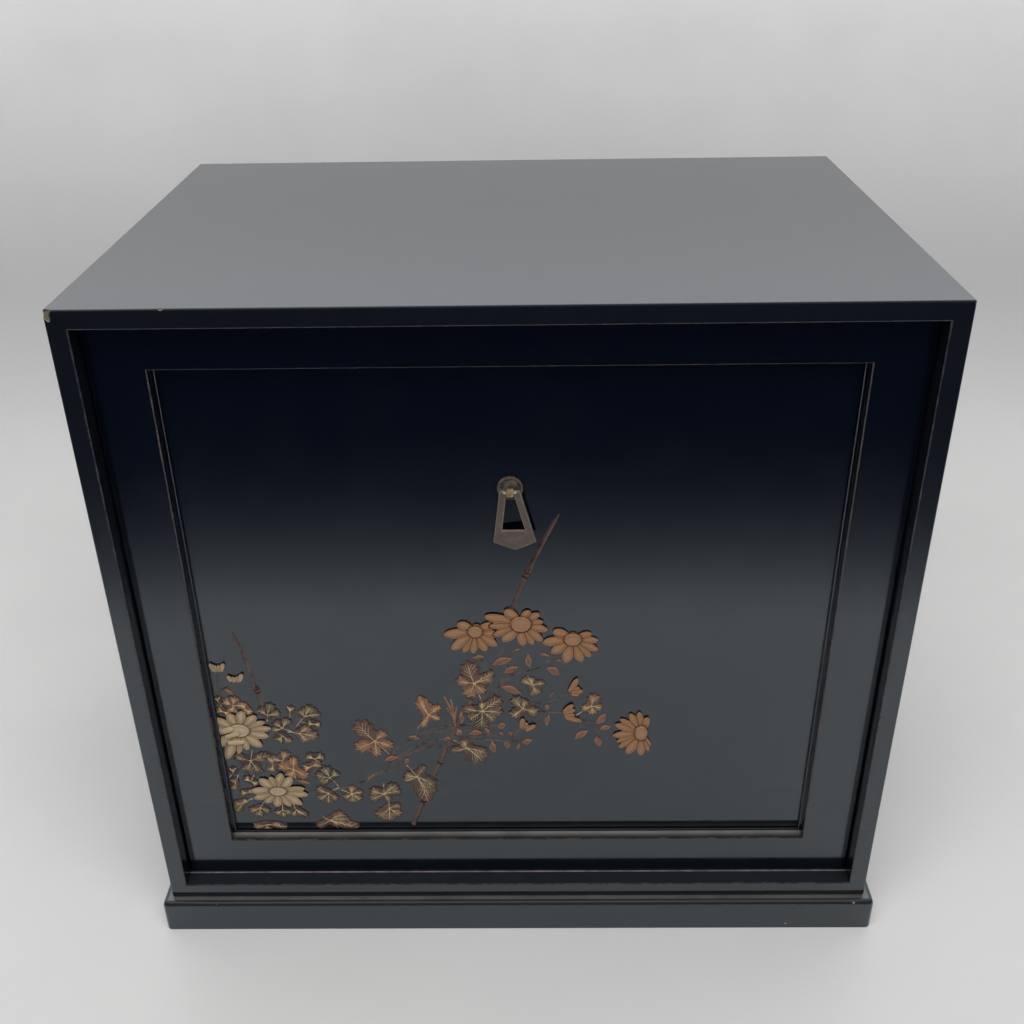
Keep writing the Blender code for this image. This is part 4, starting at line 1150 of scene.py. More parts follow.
LEAVES = (
    Leaf((-73, 117), (-66, 107.5), ((-78.5, 125, 4.8, BROWN), (-79.5, 113.3, 3.7, ORANGE),
         (-69.2, 121, 2.9, BROWN), (-66.5, 114, 2.8, ORANGE), (-72.7, 109, 2.5, ORANGE))),
    Leaf((-44, 134), (-50.5, 124.5), ((-46.5, 140.5, 3.4, ORANGE), (-47.8, 144.6, 1.6, ORANGE),
         (-39.6, 138.4, 2.1, ORANGE), (-40, 132, 1.8, ORANGE), (-46.8, 128, 1.9, ORANGE))),
    Leaf((-20, 154.5), (-17, 144), ((-22, 163, 4.0, BROWN), (-25.5, 155.5, 3.2, BROWN),
         (-13.8, 156.5, 2.9, BROWN), (-11.4, 160.2, 1.7, BROWN), (-22, 149, 3.4, ORANGE),
         (-16.6, 150, 2.3, ORANGE))),
    Leaf((-16.5, 136.5), (-16.5, 142.5), ((-23.5, 138, 2.6, GOLD), (-9.2, 136, 2.9, GOLD),
         (-9.5, 142.3, 3.2, BROWN), (-17, 128.6, 3.7, DUSK), (-16.2, 140, 1.9, GOLD),
         (-21.4, 132.5, 2.6, DUSK), (-12, 131.8, 2.6, GOLD))),
    Leaf((4.5, 138), (-1, 133), ((1.5, 142.5, 3.0, GOLD), (5.5, 141.4, 1.9, GOLD),
         (1, 134.7, 3.0, GOLD), (9.3, 136, 3.1, GOLD))),
    Leaf((9.5, 153), (7, 158.5), ((6, 155.5, 2.3, GOLD), (13.8, 154, 1.8, GOLD),
         (10.6, 149.2, 3.0, GOLD), (9, 156, 1.6, GOLD))),
    Leaf((39.5, 139.5), (32, 133), ((40.5, 143.8, 3.0, BROWN), (36.3, 138, 1.8, ORANGE),
         (43, 138.5, 2.1, BROWN), (40, 136, 2.1, ORANGE))),
    Leaf((-25, 112), (-32, 117), ((-26, 115.7, 2.3, GOLD), (-31, 110.5, 2.1, GOLD),
         (-20.3, 106.6, 5.0, GOLD), (-17, 109.5, 2.2, GOLD))),
    Leaf((-52, 92.5), (-57.5, 100), ((-49, 98, 2.0, GOLD), (-56.3, 93.2, 2.3, GOLD),
         (-57.6, 90, 1.5, GOLD), (-48.6, 84, 5.2, GOLD), (-46.3, 88, 3.8, DUSK),
         (-48, 77.8, 3.2, BROWN))),
    Leaf((-70.5, 80.5), (-70.5, 87), ((-75, 82, 2.8, GOLD), (-76, 77.5, 2.4, GOLD),
         (-66, 85, 2.7, GOLD), (-64.3, 82, 2.4, GOLD), (-68.8, 76.4, 1.8, GOLD))),
    Leaf((-68.5, 70), (-68.5, 76), ((-72.6, 66, 3.3, BROWN), (-69, 63.8, 3.1, GOLD),
         (-65.2, 66.5, 3.1, BROWN), (-64.2, 71.6, 1.8, GOLD))),
    Leaf((-88, 80.5), (-94, 83), ((-87.5, 83.8, 2.1, GOLD), (-83.8, 81.5, 1.6, GOLD),
         (-84.8, 77.2, 2.1, GOLD), (-90.5, 78.5, 2.2, GOLD), (-88, 76.6, 2.2, BROWN))),
    Leaf((-100.5, 81), (-94.5, 84.5), ((-104.3, 83.3, 2.3, GOLD), (-104.4, 77.7, 2.2, GOLD),
         (-101, 75.7, 2.1, DUSK), (-97.6, 77.6, 2.1, DUSK))),
    Leaf((-98.5, 92), (-95, 85.5), ((-100, 96.6, 2.9, DUSK), (-96, 94.2, 2.2, DUSK),
         (-104, 93.4, 2.4, DUSK), (-102, 89.6, 2.6, DUSK))),
    Leaf((-127, 134.5), (-127.8, 130), ((-129.3, 137.3, 2.4, DUSK), (-125.3, 139.6, 2.6, DUSK),
         (-122.8, 135.3, 2.2, DUSK))),
    Leaf((-115.2, 136.4), (-115.8, 132.5), ((-114.8, 138, 2.2, DUSK),)),
    Leaf((-108, 133.5), (-112.8, 127), ((-105.4, 137.8, 2.8, DUSK), (-102.3, 134.8, 2.4, DUSK),
         (-109, 136, 2.1, DUSK))),
    Leaf((-104, 128.6), (-110, 129.4), ((-104.8, 128.8, 2.2, DUSK), (-102, 128.2, 1.7, DUSK))),
    Leaf((-120, 126), (-115.6, 122.8), ((-122.6, 128.8, 2.1, DUSK), (-118, 130, 2.3, DUSK),
         (-124, 125, 1.8, DUSK))),
    Leaf((-112, 122.5), (-118, 123), ((-108.5, 125.2, 2.5, GOLD), (-105.7, 121, 3.0, BROWN),
         (-109.6, 118.8, 2.3, BROWN))),
    Leaf((-121, 121), (-126, 124.5), ((-122.6, 118.8, 2.6, DUSK), (-118.4, 117.6, 2.2, DUSK))),
    Leaf((-122.5, 104), (-121, 99), ((-121, 107.8, 2.6, BROWN), (-126, 105, 2.3, BROWN))),
    Leaf((-117.5, 98), (-117, 91.5), ((-116.8, 103.8, 2.3, ORANGE), (-122.3, 100, 3.1, ORANGE),
         (-113, 94.2, 2.9, ORANGE), (-119, 94.8, 2.9, ORANGE))),
    Leaf((-105.5, 105), (-102.5, 102), ((-107.6, 106.5, 2.3, DUSK), (-103, 106.2, 2.5, DUSK))),
    Leaf((-108, 99.8), (-113, 95.5), ((-110, 99.3, 2.5, BROWN), (-105.2, 101, 2.6, BROWN))),
    Leaf((-139.5, 104), (-138, 111), ((-145.6, 106.4, 2.7, DUSK), (-141.5, 99.3, 3.3, DUSK),
         (-137, 97.6, 2.8, DUSK), (-135.6, 105.4, 2.7, DUSK), (-131.6, 107, 2.6, DUSK))),
    Leaf((-128, 101), (-131, 108), ((-128, 104, 2.9, BROWN), (-129, 98.6, 2.5, BROWN))),
    Leaf((-149.8, 96), (-152.5, 92), ((-149.8, 97, 2.5, DUSK),)),
    Leaf((-149.6, 88.4), (-147.5, 94), ((-150, 89.6, 2.2, DUSK), (-150.8, 85.6, 2.0, GOLD))),
    Leaf((-141.2, 89.8), (-139, 94), ((-142.5, 91, 2.3, DUSK), (-139.5, 88.4, 2.0, DUSK))),
    Leaf((-144.4, 81.6), (-140, 81.4), ((-145.6, 81.6, 2.0, GOLD), (-143, 82, 1.7, DUSK))),
    Leaf((-147.8, 74), (-142, 76.8), ((-150.3, 73.8, 2.3, GOLD), (-150.8, 69.4, 2.4, GOLD),
         (-146.2, 75.4, 1.6, GOLD))),
    Leaf((-138.5, 70.8), (-135.6, 75), ((-142.3, 69, 2.3, GOLD), (-139.5, 66.7, 2.4, DUSK),
         (-135.6, 68.6, 2.2, DUSK))),
    Leaf((-126.5, 69.4), (-126.3, 73), ((-129, 67.2, 2.1, DUSK), (-126.5, 65.7, 1.9, DUSK),
         (-124, 67.6, 1.9, DUSK))),
    Leaf((-119.2, 69.4), (-120.5, 73), ((-120.6, 66.6, 2.1, DUSK), (-117.6, 67, 2.0, DUSK),
         (-115, 65.6, 2.0, DUSK))),
    Leaf((-136.5, 58.2), (-128.5, 59.6), ((-141, 57, 2.6, BROWN), (-136.5, 56.2, 2.2, BROWN),
         (-131, 58, 2.2, DUSK), (-127.4, 57, 2.0, DUSK))),
    Leaf((-101.5, 61.2), (-105.3, 63.4), ((-96.4, 64.8, 2.9, BROWN), (-93.6, 62.4, 2.0, BROWN),
         (-98, 58.8, 2.6, GOLD), (-92.4, 57.6, 2.9, BROWN), (-88.2, 57, 2.3, BROWN),
         (-107, 57.6, 2.3, GOLD))),
    Leaf((-144, 141), (-142.6, 135.5), ((-146.4, 143, 2.6, BROWN), (-143, 144.3, 2.4, BROWN),
         (-140.2, 141, 2.2, BROWN), (-145, 138.6, 2.2, ORANGE))),
    Leaf((-149.4, 137), (-146, 133.5), ((-150.5, 137.6, 2.4, BROWN), (-148.4, 136.4, 1.8, BROWN))),
    Leaf((-138, 138.6), (-139, 134), ((-138.5, 140.4, 2.1, ORANGE), (-136.6, 137, 2.0, ORANGE))),
    Leaf((-151.2, 143.6), (-149.8, 139), ((-151.3, 144.6, 2.1, DUSK),)),
)

# Small pointed leaves: middle, length, width and the way the tip points in degrees
LEAFLETS = (
    (-17.5, 170.5, 6, 2.5, 170), (-5.5, 168, 11, 5, 35), (1.5, 174.5, 4.5, 1.5, 5),
    (7.5, 168, 9, 3.5, 110), (-1, 162.5, 8, 4, 10), (-1, 150, 12, 5, 350),
    (15.5, 171.5, 5.5, 2, 325), (20.5, 161.5, 8, 5, 340), (22.5, 168, 3.5, 1.5, 340),
    (19, 146.5, 4, 1.5, 90), (17, 138.5, 3.5, 3, 60), (17, 130.5, 8, 3, 95),
    (-20.5, 122, 7, 4, 170), (-14, 123, 4.5, 2.5, 310), (-6.5, 126.5, 4.5, 4.5, 0),
    (-7, 121.3, 3, 2, 140), (-2.3, 121.5, 3.5, 2, 110), (-11.5, 112.5, 8.5, 3.8, 115),
    (-4, 114, 5, 3.5, 90), (1.8, 112.5, 4.5, 2, 100), (6.5, 115.8, 5, 4.5, 0),
    (34.5, 120.5, 9, 4.5, 55), (45, 130.8, 8, 4.5, 40), (47, 125, 6, 3.5, 35),
    (43.5, 116, 7, 4.5, 90), (-28.5, 122, 3.5, 3.5, 0), (-22.5, 142.5, 4, 3, 60),
    (-52, 119, 6, 3, 0), (-35, 118, 4, 3, 0), (-65, 105, 8, 3.5, 30), (-57, 103, 4, 3, 40),
    (-77, 92, 7, 2, 65), (-27, 132, 9, 3, 75), (-145, 149.5, 6, 2.5, 155),
    (-113, 88.5, 8, 2.5, 330),
)

# Stems, as the places each runs through
STEMS = (
    ((-95, 83), (-80, 88), (-70, 96), (-60, 107), (-50, 111), (-35, 113), (-28, 116)),
    ((-62, 111), (-55, 117.5), (-45, 122), (-35, 124), (-20, 128)),
    ((-78, 92.5), (-68, 95), (-60, 99)),
    ((-32, 127), (-42, 124.5), (-52, 119.5), (-60, 113), (-66, 107)),
    ((-30, 119.5), (-44, 116.5), (-56, 110.5), (-66, 101.5), (-74, 95)),
    ((-33, 113.5), (-46, 113), (-57, 107.5), (-66, 99), (-80, 91)),
    ((-29, 122), (-20, 125), (-12, 126), (-5, 127)),
    ((-29, 118), (-20, 119.5), (-10, 120), (-2, 121)),
    ((-10, 158), (-14, 164), (-17, 170)),
    ((-8, 150), (-4, 156), (0, 161)),
    ((42, 123), (46, 120)),
    ((38, 128.5), (42, 129), (45, 130)),
    ((33, 131), (35, 126), (35, 122)),
    ((-50, 112), (-46, 118), (-40, 122)),
    ((-51, 120), (-50, 125)),
    ((-65, 107), (-62, 109)),
    ((-17, 143), (-13, 149), (-10, 158), (-8, 168), (-4, 176)),
    ((-20, 128), (-17, 134), (-14, 142), (-7, 153), (-1, 159), (7, 161.5), (14, 164)),
    ((-7, 153), (-5, 158), (-3, 165)),
    ((8, 140), (14, 142), (20, 142), (27, 147)),
    ((12, 137), (18, 134.5), (25, 135)),
    ((31, 132), (38, 128.5), (42, 123)),
    ((-28, 116), (-12, 117), (0, 115.5), (4, 116)),
    ((-21, 128), (-29, 126.5), (-35, 124)),
    ((-1, 118), (1, 122), (4, 125)),
    ((16, 167), (19, 169)),
    ((-151, 140), (-150, 151), (-149.5, 160)),
    ((-150, 150), (-145, 153), (-142, 155.5)),
    ((-131, 118), (-124, 124), (-112, 131), (-106, 134)),
    ((-131, 118), (-126, 128), (-126, 133)),
)

# Bamboo between its nodes: places with a half-width, in millimetres
POLES = (
    ((22.2, 252, 0.7), (20.5, 248.5, 1.15), (14, 235, 1.35), (7.6, 220.2, 1.8)),
    ((7.5, 219.7, 1.95), (6.6, 217.8, 1.95)),
    ((6.3, 217.1, 1.75), (5.6, 215.2, 1.5), (-0.7, 199, 1.6)),
    ((-22.5, 144, 1.5), (-36.5, 110, 1.6), (-39.2, 102.5, 1.8)),
    ((-39.5, 101.7, 1.7), (-43.5, 92, 1.5)),
    ((-50, 74, 1.6), (-56, 58, 1.7)),
    ((-138.6, 186.5, 0.7), (-137.4, 182, 1.15), (-135, 175, 1.3), (-131.0, 151.4, 1.7)),
    ((-130.9, 150.9, 1.8), (-130.6, 149.4, 1.8)),
    ((-130.4, 148.9, 1.6), (-129, 140, 1.5)),
)

# Straw tie: its splayed ends and the bound stalk, with a half-width
STRAWS = (
    ((-35.5, 145.5, 0.35), (-33, 139, 0.5), (-31, 133, 0.6)),
    ((-32.2, 144, 0.35), (-31.5, 138, 0.5), (-31, 132.5, 0.6)),
    ((-34.6, 138.5, 0.3), (-32.5, 135, 0.4), (-31.2, 131.5, 0.5)),
    ((-29.5, 139, 0.3), (-30, 135, 0.4), (-30.8, 131.5, 0.5)),
    ((-31, 134, 0.7), (-30.6, 128, 0.8), (-29.6, 124, 0.55)),
)


@dataclass
class Piece:
    """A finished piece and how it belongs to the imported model."""

    item: Item
    slot: str
    nodes: tuple[str, ...]
    body: str = "cabinet"

    def hand_over(self) -> None:
        """Let the piece ride on its body and hide what it stands for."""
        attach(self.item, self.body)
        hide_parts(*self.nodes)
        log.info("%s: %d faces on %s, for %s", self.item.name, len(self.item.data.polygons),
                 self.body, ", ".join(self.nodes))


@dataclass
class Studio:
    """Pale floor running up into a wall, soft light and the camera. All in metres and watts."""

    floor_colour: str = "#dddddc"
    # Painted shade in the bend and painted light up the wall
    painted_shade_bend_colour: str = "#d0d0d0"
    painted_light_wall_colour: str = "#f2f2f1"
    smudge_colour: str = "#cfcfce"
    sweep_start: float = 0.32
    sweep_radius: float = 0.16
    reach: float = 2.6
    wall_height: float = 1.6
    fade_start: float = -0.41
    fade_end: float = -0.95
    fade_power: float = 3.1
    mirrored_light: str = "overhead"
    # Glow of the card that gives the painted reflection on the case's top
    card_low: float = 0.62
    card_high: float = 1.12
    camera_place: Triple = (0.0082, -0.5784, 0.5137)
    camera_turn: Triple = (60.612, 0.809, 0.494)
    focal_length: float = 40.34
    sensor: float = 36.0

    def build(self) -> None:
        """Set up the floor, the lights and the camera."""
        self.add_floor()
        self.add_black_card()
        self.add_white_card()
        self.add_lights()
        self.add_camera()

    def add_floor(self) -> None:
        """Extrude a floor's back edge round an arc and up into a wall, clear from behind."""
        bpy.ops.mesh.primitive_plane_add(size=1.0)
        floor = bpy.context.object
        floor.name = "floor"
        floor.scale = (2 * self.reach, self.reach + self.sweep_start, 1.0)
        floor.location = (0.0, (self.sweep_start - self.reach) / 2, 0.0)
        settle(floor)
        steps = 24
        with editing(floor):
            pick(floor, Element.EDGE, lambda a, b: near(a.y, self.sweep_start)
                 and near(b.y, self.sweep_start))
            for step in range(steps):
                before, after = (math.pi / 2 * share / steps for share in (step, step + 1))
                offset = (0.0, self.sweep_radius * (math.sin(after) - math.sin(before)),
                          self.sweep_radius * (math.cos(before) - math.cos(after)))
                bpy.ops.mesh.extrude_region_move(TRANSFORM_OT_translate={"value": offset})
            bpy.ops.mesh.extrude_region_move(
                TRANSFORM_OT_translate={"value": (0.0, 0.0, self.wall_height)})
        smooth(floor, 30.0)
        paper = bpy.data.materials.new("studio paper")
        paper.use_nodes = True
        tree = paper.node_tree
        shader = tree.nodes["Principled BSDF"]
        shader.inputs["Roughness"].default_value = 0.6
        height = add_node(tree, "ShaderNodeSeparateXYZ", {
            0: add_node(tree, "ShaderNodeTexCoord").outputs["Object"]}).outputs["Z"]
        # Painted shade and light: the paper is coloured darker in the bend and lighter up the wall, as
        # light falls on it
        low = lay(tree, self.floor_colour, self.painted_shade_bend_colour, span(tree, height, 0.0, 0.12))
        graded = lay(tree, low, self.painted_light_wall_colour, span(tree, height, 0.16, 0.40))
        smudge = span(tree, Grain(120.0, 4.0), 0.3, 0.7, 0.0, 0.2)
        tree.links.new(lay(tree, graded, self.smudge_colour, smudge), shader.inputs["Base Color"])
        behind = add_node(tree, "ShaderNodeNewGeometry").outputs["Backfacing"]
        one_sided = add_node(tree, "ShaderNodeMixShader", {
            0: behind, 1: shader.outputs[0],
            2: add_node(tree, "ShaderNodeBsdfTransparent").outputs[0]})
        tree.links.new(one_sided.outputs[0], tree.nodes["Material Output"].inputs["Surface"])
        floor.data.materials.append(paper)

    def add_card(self, name: str, low: Vector, high: Vector, shade: Callable[[Tree, Node], Node]) -> None:
        """Stand or lay a flat card that only shows in the gloss, as a painted reflection.

        Args:
            name: Its name.
            low: Its lowest corner.
            high: Its highest corner. The card is flat where both have the same value.
            shade: Makes the card's shader from its tree and its place.
        """
        card = add_box(name, low, high)
        material = bpy.data.materials.new(name)
        material.use_nodes = True
        tree = material.node_tree
        tree.nodes.remove(tree.nodes["Principled BSDF"])
        place = add_node(tree, "ShaderNodeSeparateXYZ", {
            0: add_node(tree, "ShaderNodeTexCoord").outputs["Object"]})
        tree.links.new(shade(tree, place).outputs[0], tree.nodes["Material Output"].inputs["Surface"])
        card.data.materials.append(material)
        for kind in ("camera", "diffuse", "shadow", "transmission"):
            setattr(card, f"visible_{kind}", False)

    def add_black_card(self) -> None:
        """Painted reflection: a faintly glowing dark card on the floor in front, fading in, for the dark
        room beyond the floor.
        """
        def shade(tree: Tree, place: Node) -> Node:
            """Let the floor through less and less with distance."""
            near_share = add_node(tree, "ShaderNodeMapRange", {
                "Value": place.outputs["Y"], "From Min": self.fade_end,
                "From Max": self.fade_start}).outputs["Result"]
            clear_share = add_node(tree, "ShaderNodeMath", {0: near_share, 1: self.fade_power},
                                   operation="POWER").outputs[0]
            # Painted reflection: the card glows a dark navy that the lacquer mirrors
            black = add_node(tree, "ShaderNodeEmission", {"Color": linear("#192137"), "Strength": 1.0})
            clear = add_node(tree, "ShaderNodeBsdfTransparent")
            return add_node(tree, "ShaderNodeMixShader", {
                0: clear_share, 1: black.outputs[0], 2: clear.outputs[0]})
        self.add_card("painted_reflection_black_card", Vector((-3.0, -2.5, 0.004)), Vector((3.0, -0.2, 0.0041)), shade)

    def add_white_card(self) -> None:
        """Painted reflection: a glowing card low behind the case, no lamp, that the case's top mirrors as
        the light wall.
        """
        def shade(tree: Tree, place: Node) -> Node:
            """Glow more the higher it is."""
            glow = span(tree, place.outputs["Z"], 0.42, 0.64, self.card_low, self.card_high)
            return add_node(tree, "ShaderNodeEmission", {"Color": linear("#fdfdff"), "Strength": glow})
        self.add_card("painted_reflection_white_card", Vector((-1.2, 0.465, 0.40)), Vector((1.2, 0.466, 1.3)), shade)

    def add_light(self, name: str, place: Triple, aim: Triple, width: float, depth: float,
                  power: float) -> None:
        """Add a soft box that looks at a point.

        Args:
            name: Its name. Only the mirrored light shows in the gloss.
            place: Where it hangs.
            aim: The point it looks at.
            width: Its size across.
            depth: Its other size.
            power: Its power in watts.
        """
        lamp = bpy.data.lights.new(name, "AREA")
        lamp.shape = "RECTANGLE"
        lamp.size = width
        lamp.size_y = depth
        lamp.energy = power
        item = bpy.data.objects.new(name, lamp)
        item.location = place
        item.rotation_euler = (Vector(aim) - Vector(place)).to_track_quat("-Z", "Y").to_euler()
        item.visible_glossy = name == self.mirrored_light
        bpy.context.scene.collection.objects.link(item)

    def add_lights(self) -> None:
        """Soft boxes overhead and in front, one that washes the wall, and an even surround."""
        self.add_light("overhead", (0.0, -0.1, 2.2), (0.0, -0.1, 0.0), 2.6, 2.2, 6.0)
        self.add_light("key", (0.0, -1.0, 2.0), (0.0, -0.1, 0.0), 2.4, 1.0, 36.5)
        self.add_light("wash", (0.0, 0.0, 1.3), (0.0, 0.48, 0.4), 2.4, 0.3, 1.2)
        surround = bpy.data.worlds.new("surround")
        surround.use_nodes = True
        back = surround.node_tree.nodes["Background"]
        back.inputs["Color"].default_value = linear("#dfe0e2")
        back.inputs["Strength"].default_value = 0.19
        bpy.context.scene.world = surround

    def add_camera(self) -> None:
        """Put the camera where the photograph was taken from."""
        lens = bpy.data.cameras.new("camera")
        lens.sensor_width = self.sensor
        lens.lens = self.focal_length
        lens.clip_start = 0.01
        item = bpy.data.objects.new("camera", lens)
        item.location = self.camera_place
        item.rotation_euler = [math.radians(angle) for angle in self.camera_turn]
        bpy.context.scene.collection.objects.link(item)
        bpy.context.scene.camera = item
        bpy.context.scene.view_settings.view_transform = "Standard"


@dataclass
class Carcass:
    """The case of four boards, its back and the worn places on its edges, in metres."""

    low: Vector = field(default_factory=lambda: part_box("bottom_board")[0])
    high: Vector = field(default_factory=lambda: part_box("top_board")[1])
    edge_width: float = 0.0008
    inner_edge_width: float = 0.0007
    back_edge_width: float = 0.0006
    groove_gap: float = 0.0003
    groove_spare: float = 0.003
    lip_width: float = 0.0009
    lip_rise: float = 0.0002
    lip_sink: float = 0.001
    lip_gap: float = 0.0001

    def build(self) -> list[Piece]:
        """Model the case and its back."""
        return [Piece(self.shell(), "lacquer", ("top_board", "bottom_board", "side_left", "side_right")),
                Piece(self.back(), "lacquer", ("back_board",))]

    def opening(self) -> tuple[Vector, Vector]:
        """Lowest and highest corner of the space inside."""
        left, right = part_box("side_left")[1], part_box("side_right")[0]
        floor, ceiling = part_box("bottom_board")[1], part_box("top_board")[0]
        return (Vector((left.x, self.low.y, floor.z)), Vector((right.x, self.high.y, ceiling.z)))

    def shell(self) -> Item:
        """Inset and bridge a block into the case, then ease its edges, groove it and wear it."""
        inner_low, inner_high = self.opening()
        case = rectangular_tube("case", self.low, self.high, Axis.Y, inner_low, inner_high)
        give_slots(case, CASE_LACQUER, CASE_EDGE_RUB_AND_HIGHLIGHT, WOOD)

        def outer(place: Vector) -> bool:
            """Say whether a place is on the case's outside corners."""
            return (near(abs(place.x), self.high.x)
                    and (near(place.z, self.low.z) or near(place.z, self.high.z)))

        def inner(place: Vector) -> bool:
            """Say whether a place is a corner of the opening."""
            return (near(abs(place.x), inner_high.x)
                    and (near(place.z, inner_low.z) or near(place.z, inner_high.z)))

        # The opening's arrises take the edge colour, both wear and a painted highlight
        bevel_edges(case, lambda a, b: inner(a) and inner(b) and near(a.y, b.y),
                    self.inner_edge_width, 2, SECOND)
        bevel_edges(case, both(outer), self.edge_width, 3)
        self.cut_grooves(case, inner_low, inner_high)
        self.add_lip(case, inner_low, inner_high)
        self.wear(case)
        polish(case)
        return case

    def cut_grooves(self, case: Item, inner_low: Vector, inner_high: Vector) -> None:
        """Cut the grooves that the door's tongues stand in."""
        tongue_low, tongue_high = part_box("door_stile_left")
        middle = (tongue_low.y + tongue_high.y) / 2
        front = middle - TONGUE / 2 - self.groove_gap
        back = middle + TONGUE / 2 + self.groove_gap
        for name, bottom, top in (
                ("upper_groove", inner_high.z - self.groove_spare, tongue_high.z + self.groove_gap),
                ("lower_groove", tongue_low.z - self.groove_gap, inner_low.z + self.groove_spare)):
            combine(case, add_box(name, Vector((inner_low.x, front, bottom)),
                                  Vector((inner_high.x, back, top))), "DIFFERENCE")

    def add_lip(self, case: Item, inner_low: Vector, inner_high: Vector) -> None:
        """Raise the front lip of the lower groove, just in front of the door, coloured pale as a painted
        highlight line.
        """
        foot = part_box("door_rail_bottom")[0].y
        lip = add_box("groove_lip", Vector((inner_low.x - self.lip_sink, foot - self.lip_width,
                              inner_low.z - self.lip_sink)),
                      Vector((inner_high.x + self.lip_sink, foot - self.lip_gap,
                              inner_low.z + self.lip_rise)))
        give_slots(lip, LIP_PAINTED_HIGHLIGHT)
        combine(case, lip, "UNION")

    def wear(self, case: Item) -> None:
        """Break flakes out of the edges: a corner, a nick at the left and small chips in front."""
        low, high = self.low, self.high
        for index, (place, size) in enumerate((
                ((low.x + 0.0010, low.y - 0.0016, high.z - 0.0016), (3.3, 3.0, 4.2)),
                ((low.x, low.y + 0.139, high.z), (1.1, 2.6, 1.0)),
                ((-0.1412, low.y, high.z), (1.5, 0.7, 0.8)),
                ((high.x, low.y, high.z - 0.001), (0.8, 0.8, 1.2)),
                ((high.x, low.y + 0.0005, low.z + 0.062), (0.7, 0.6, 1.5)))):
            combine(case, flake(f"flake_{index}", place, size, index), "DIFFERENCE")

    def back(self) -> Item:
        """A plain back board with eased edges."""
        board = add_box("back_panel", *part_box("back_board"))
        give_slots(board, CASE_LACQUER, CASE_EDGE_RUB_AND_HIGHLIGHT)
        bevel_edges(board, lambda a, b: near(a.y, b.y), self.back_edge_width, 2)
        polish(board)
        return board


def flake(name: str, place: Sequence[float], size: Sequence[float], seed: int) -> Item:
    """Make a rough lump, in bare wood, that cuts a flake out of an edge.

    Args:
        name: The object's name.
        place: Its middle, in metres.
        size: Its half-sizes in millimetres.
        seed: Makes each lump's facets its own.

    Returns:
        The lump.
    """
    bpy.ops.mesh.primitive_ico_sphere_add(subdivisions=3, radius=1.0)
    lump = bpy.context.object
    lump.name = name
    for vertex in lump.data.vertices:
        rough = noise.noise(vertex.co * 1.7 + Vector((seed * 7.3, 0.0, 0.0)))
        vertex.co *= 1.0 + 0.45 * rough
    lump.scale = [length * MM for length in size]
    lump.location = place
    settle(lump)
    give_slots(lump, WOOD)
    return lump


def lay_dust(item: Item, slot: int, test: PlaceTest) -> None:
    """Give the faces that face up, where a test picks them, the dusty material.

    Args:
        item: The object.
        slot: The material slot of the dust.
        test: Takes a face's middle.
    """
    for face in item.data.polygons:
        if face.normal.z > 0.95 and test(face.center):
            face.material_index = slot


@dataclass
class Plinth:
    """The low ring that the case stands on, in metres."""

    edge_radius: float = 0.0028

    def build(self) -> list[Piece]:
        """Model the ring from a block and round its outer edges.

        Returns:
            The ring.
        """
        left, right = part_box("plinth_left"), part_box("plinth_right")
        front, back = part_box("plinth_front"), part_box("plinth_back")
        low = Vector((left[0].x, front[0].y, front[0].z))
        high = Vector((right[1].x, back[1].y, front[1].z))
        inner_low = Vector((left[1].x, front[1].y, low.z))
        inner_high = Vector((right[0].x, back[0].y, high.z))
        ring = rectangular_tube("plinth", low, high, Axis.Z, inner_low, inner_high)
        give_slots(ring, CASE_LACQUER, DUSTY, WOOD)

        def beyond(place: Vector) -> bool:
            """Say whether a place is on the outside of the ring, at its top."""
            return near(place.z, high.z) and (abs(place.x) > inner_high.x + TOUCH
                                              or abs(place.y) > inner_high.y + TOUCH)

        bevel_edges(ring, lambda a, b: both(beyond)(a, b)
                    or near(abs(a.x), high.x) and near(a.x, b.x) and near(a.y, b.y),
                    self.edge_radius, 4)
        for index, (place, size) in enumerate((
                ((0.1835, low.y + 0.0004, high.z - 0.0008), (0.9, 0.7, 0.8)),
                ((0.1480, low.y, 0.0035), (0.8, 0.3, 0.7)),
                ((-0.1650, low.y + 0.0004, high.z - 0.0006), (0.8, 0.5, 0.5)))):
            combine(ring, flake(f"plinth_flake_{index}", place, size, 20 + index), "DIFFERENCE")
        lay_dust(ring, SECOND, lambda middle: near(middle.z, high.z))
        polish(ring)
        return [Piece(ring, "lacquer", ("plinth_front", "plinth_back", "plinth_left", "plinth_right"))]


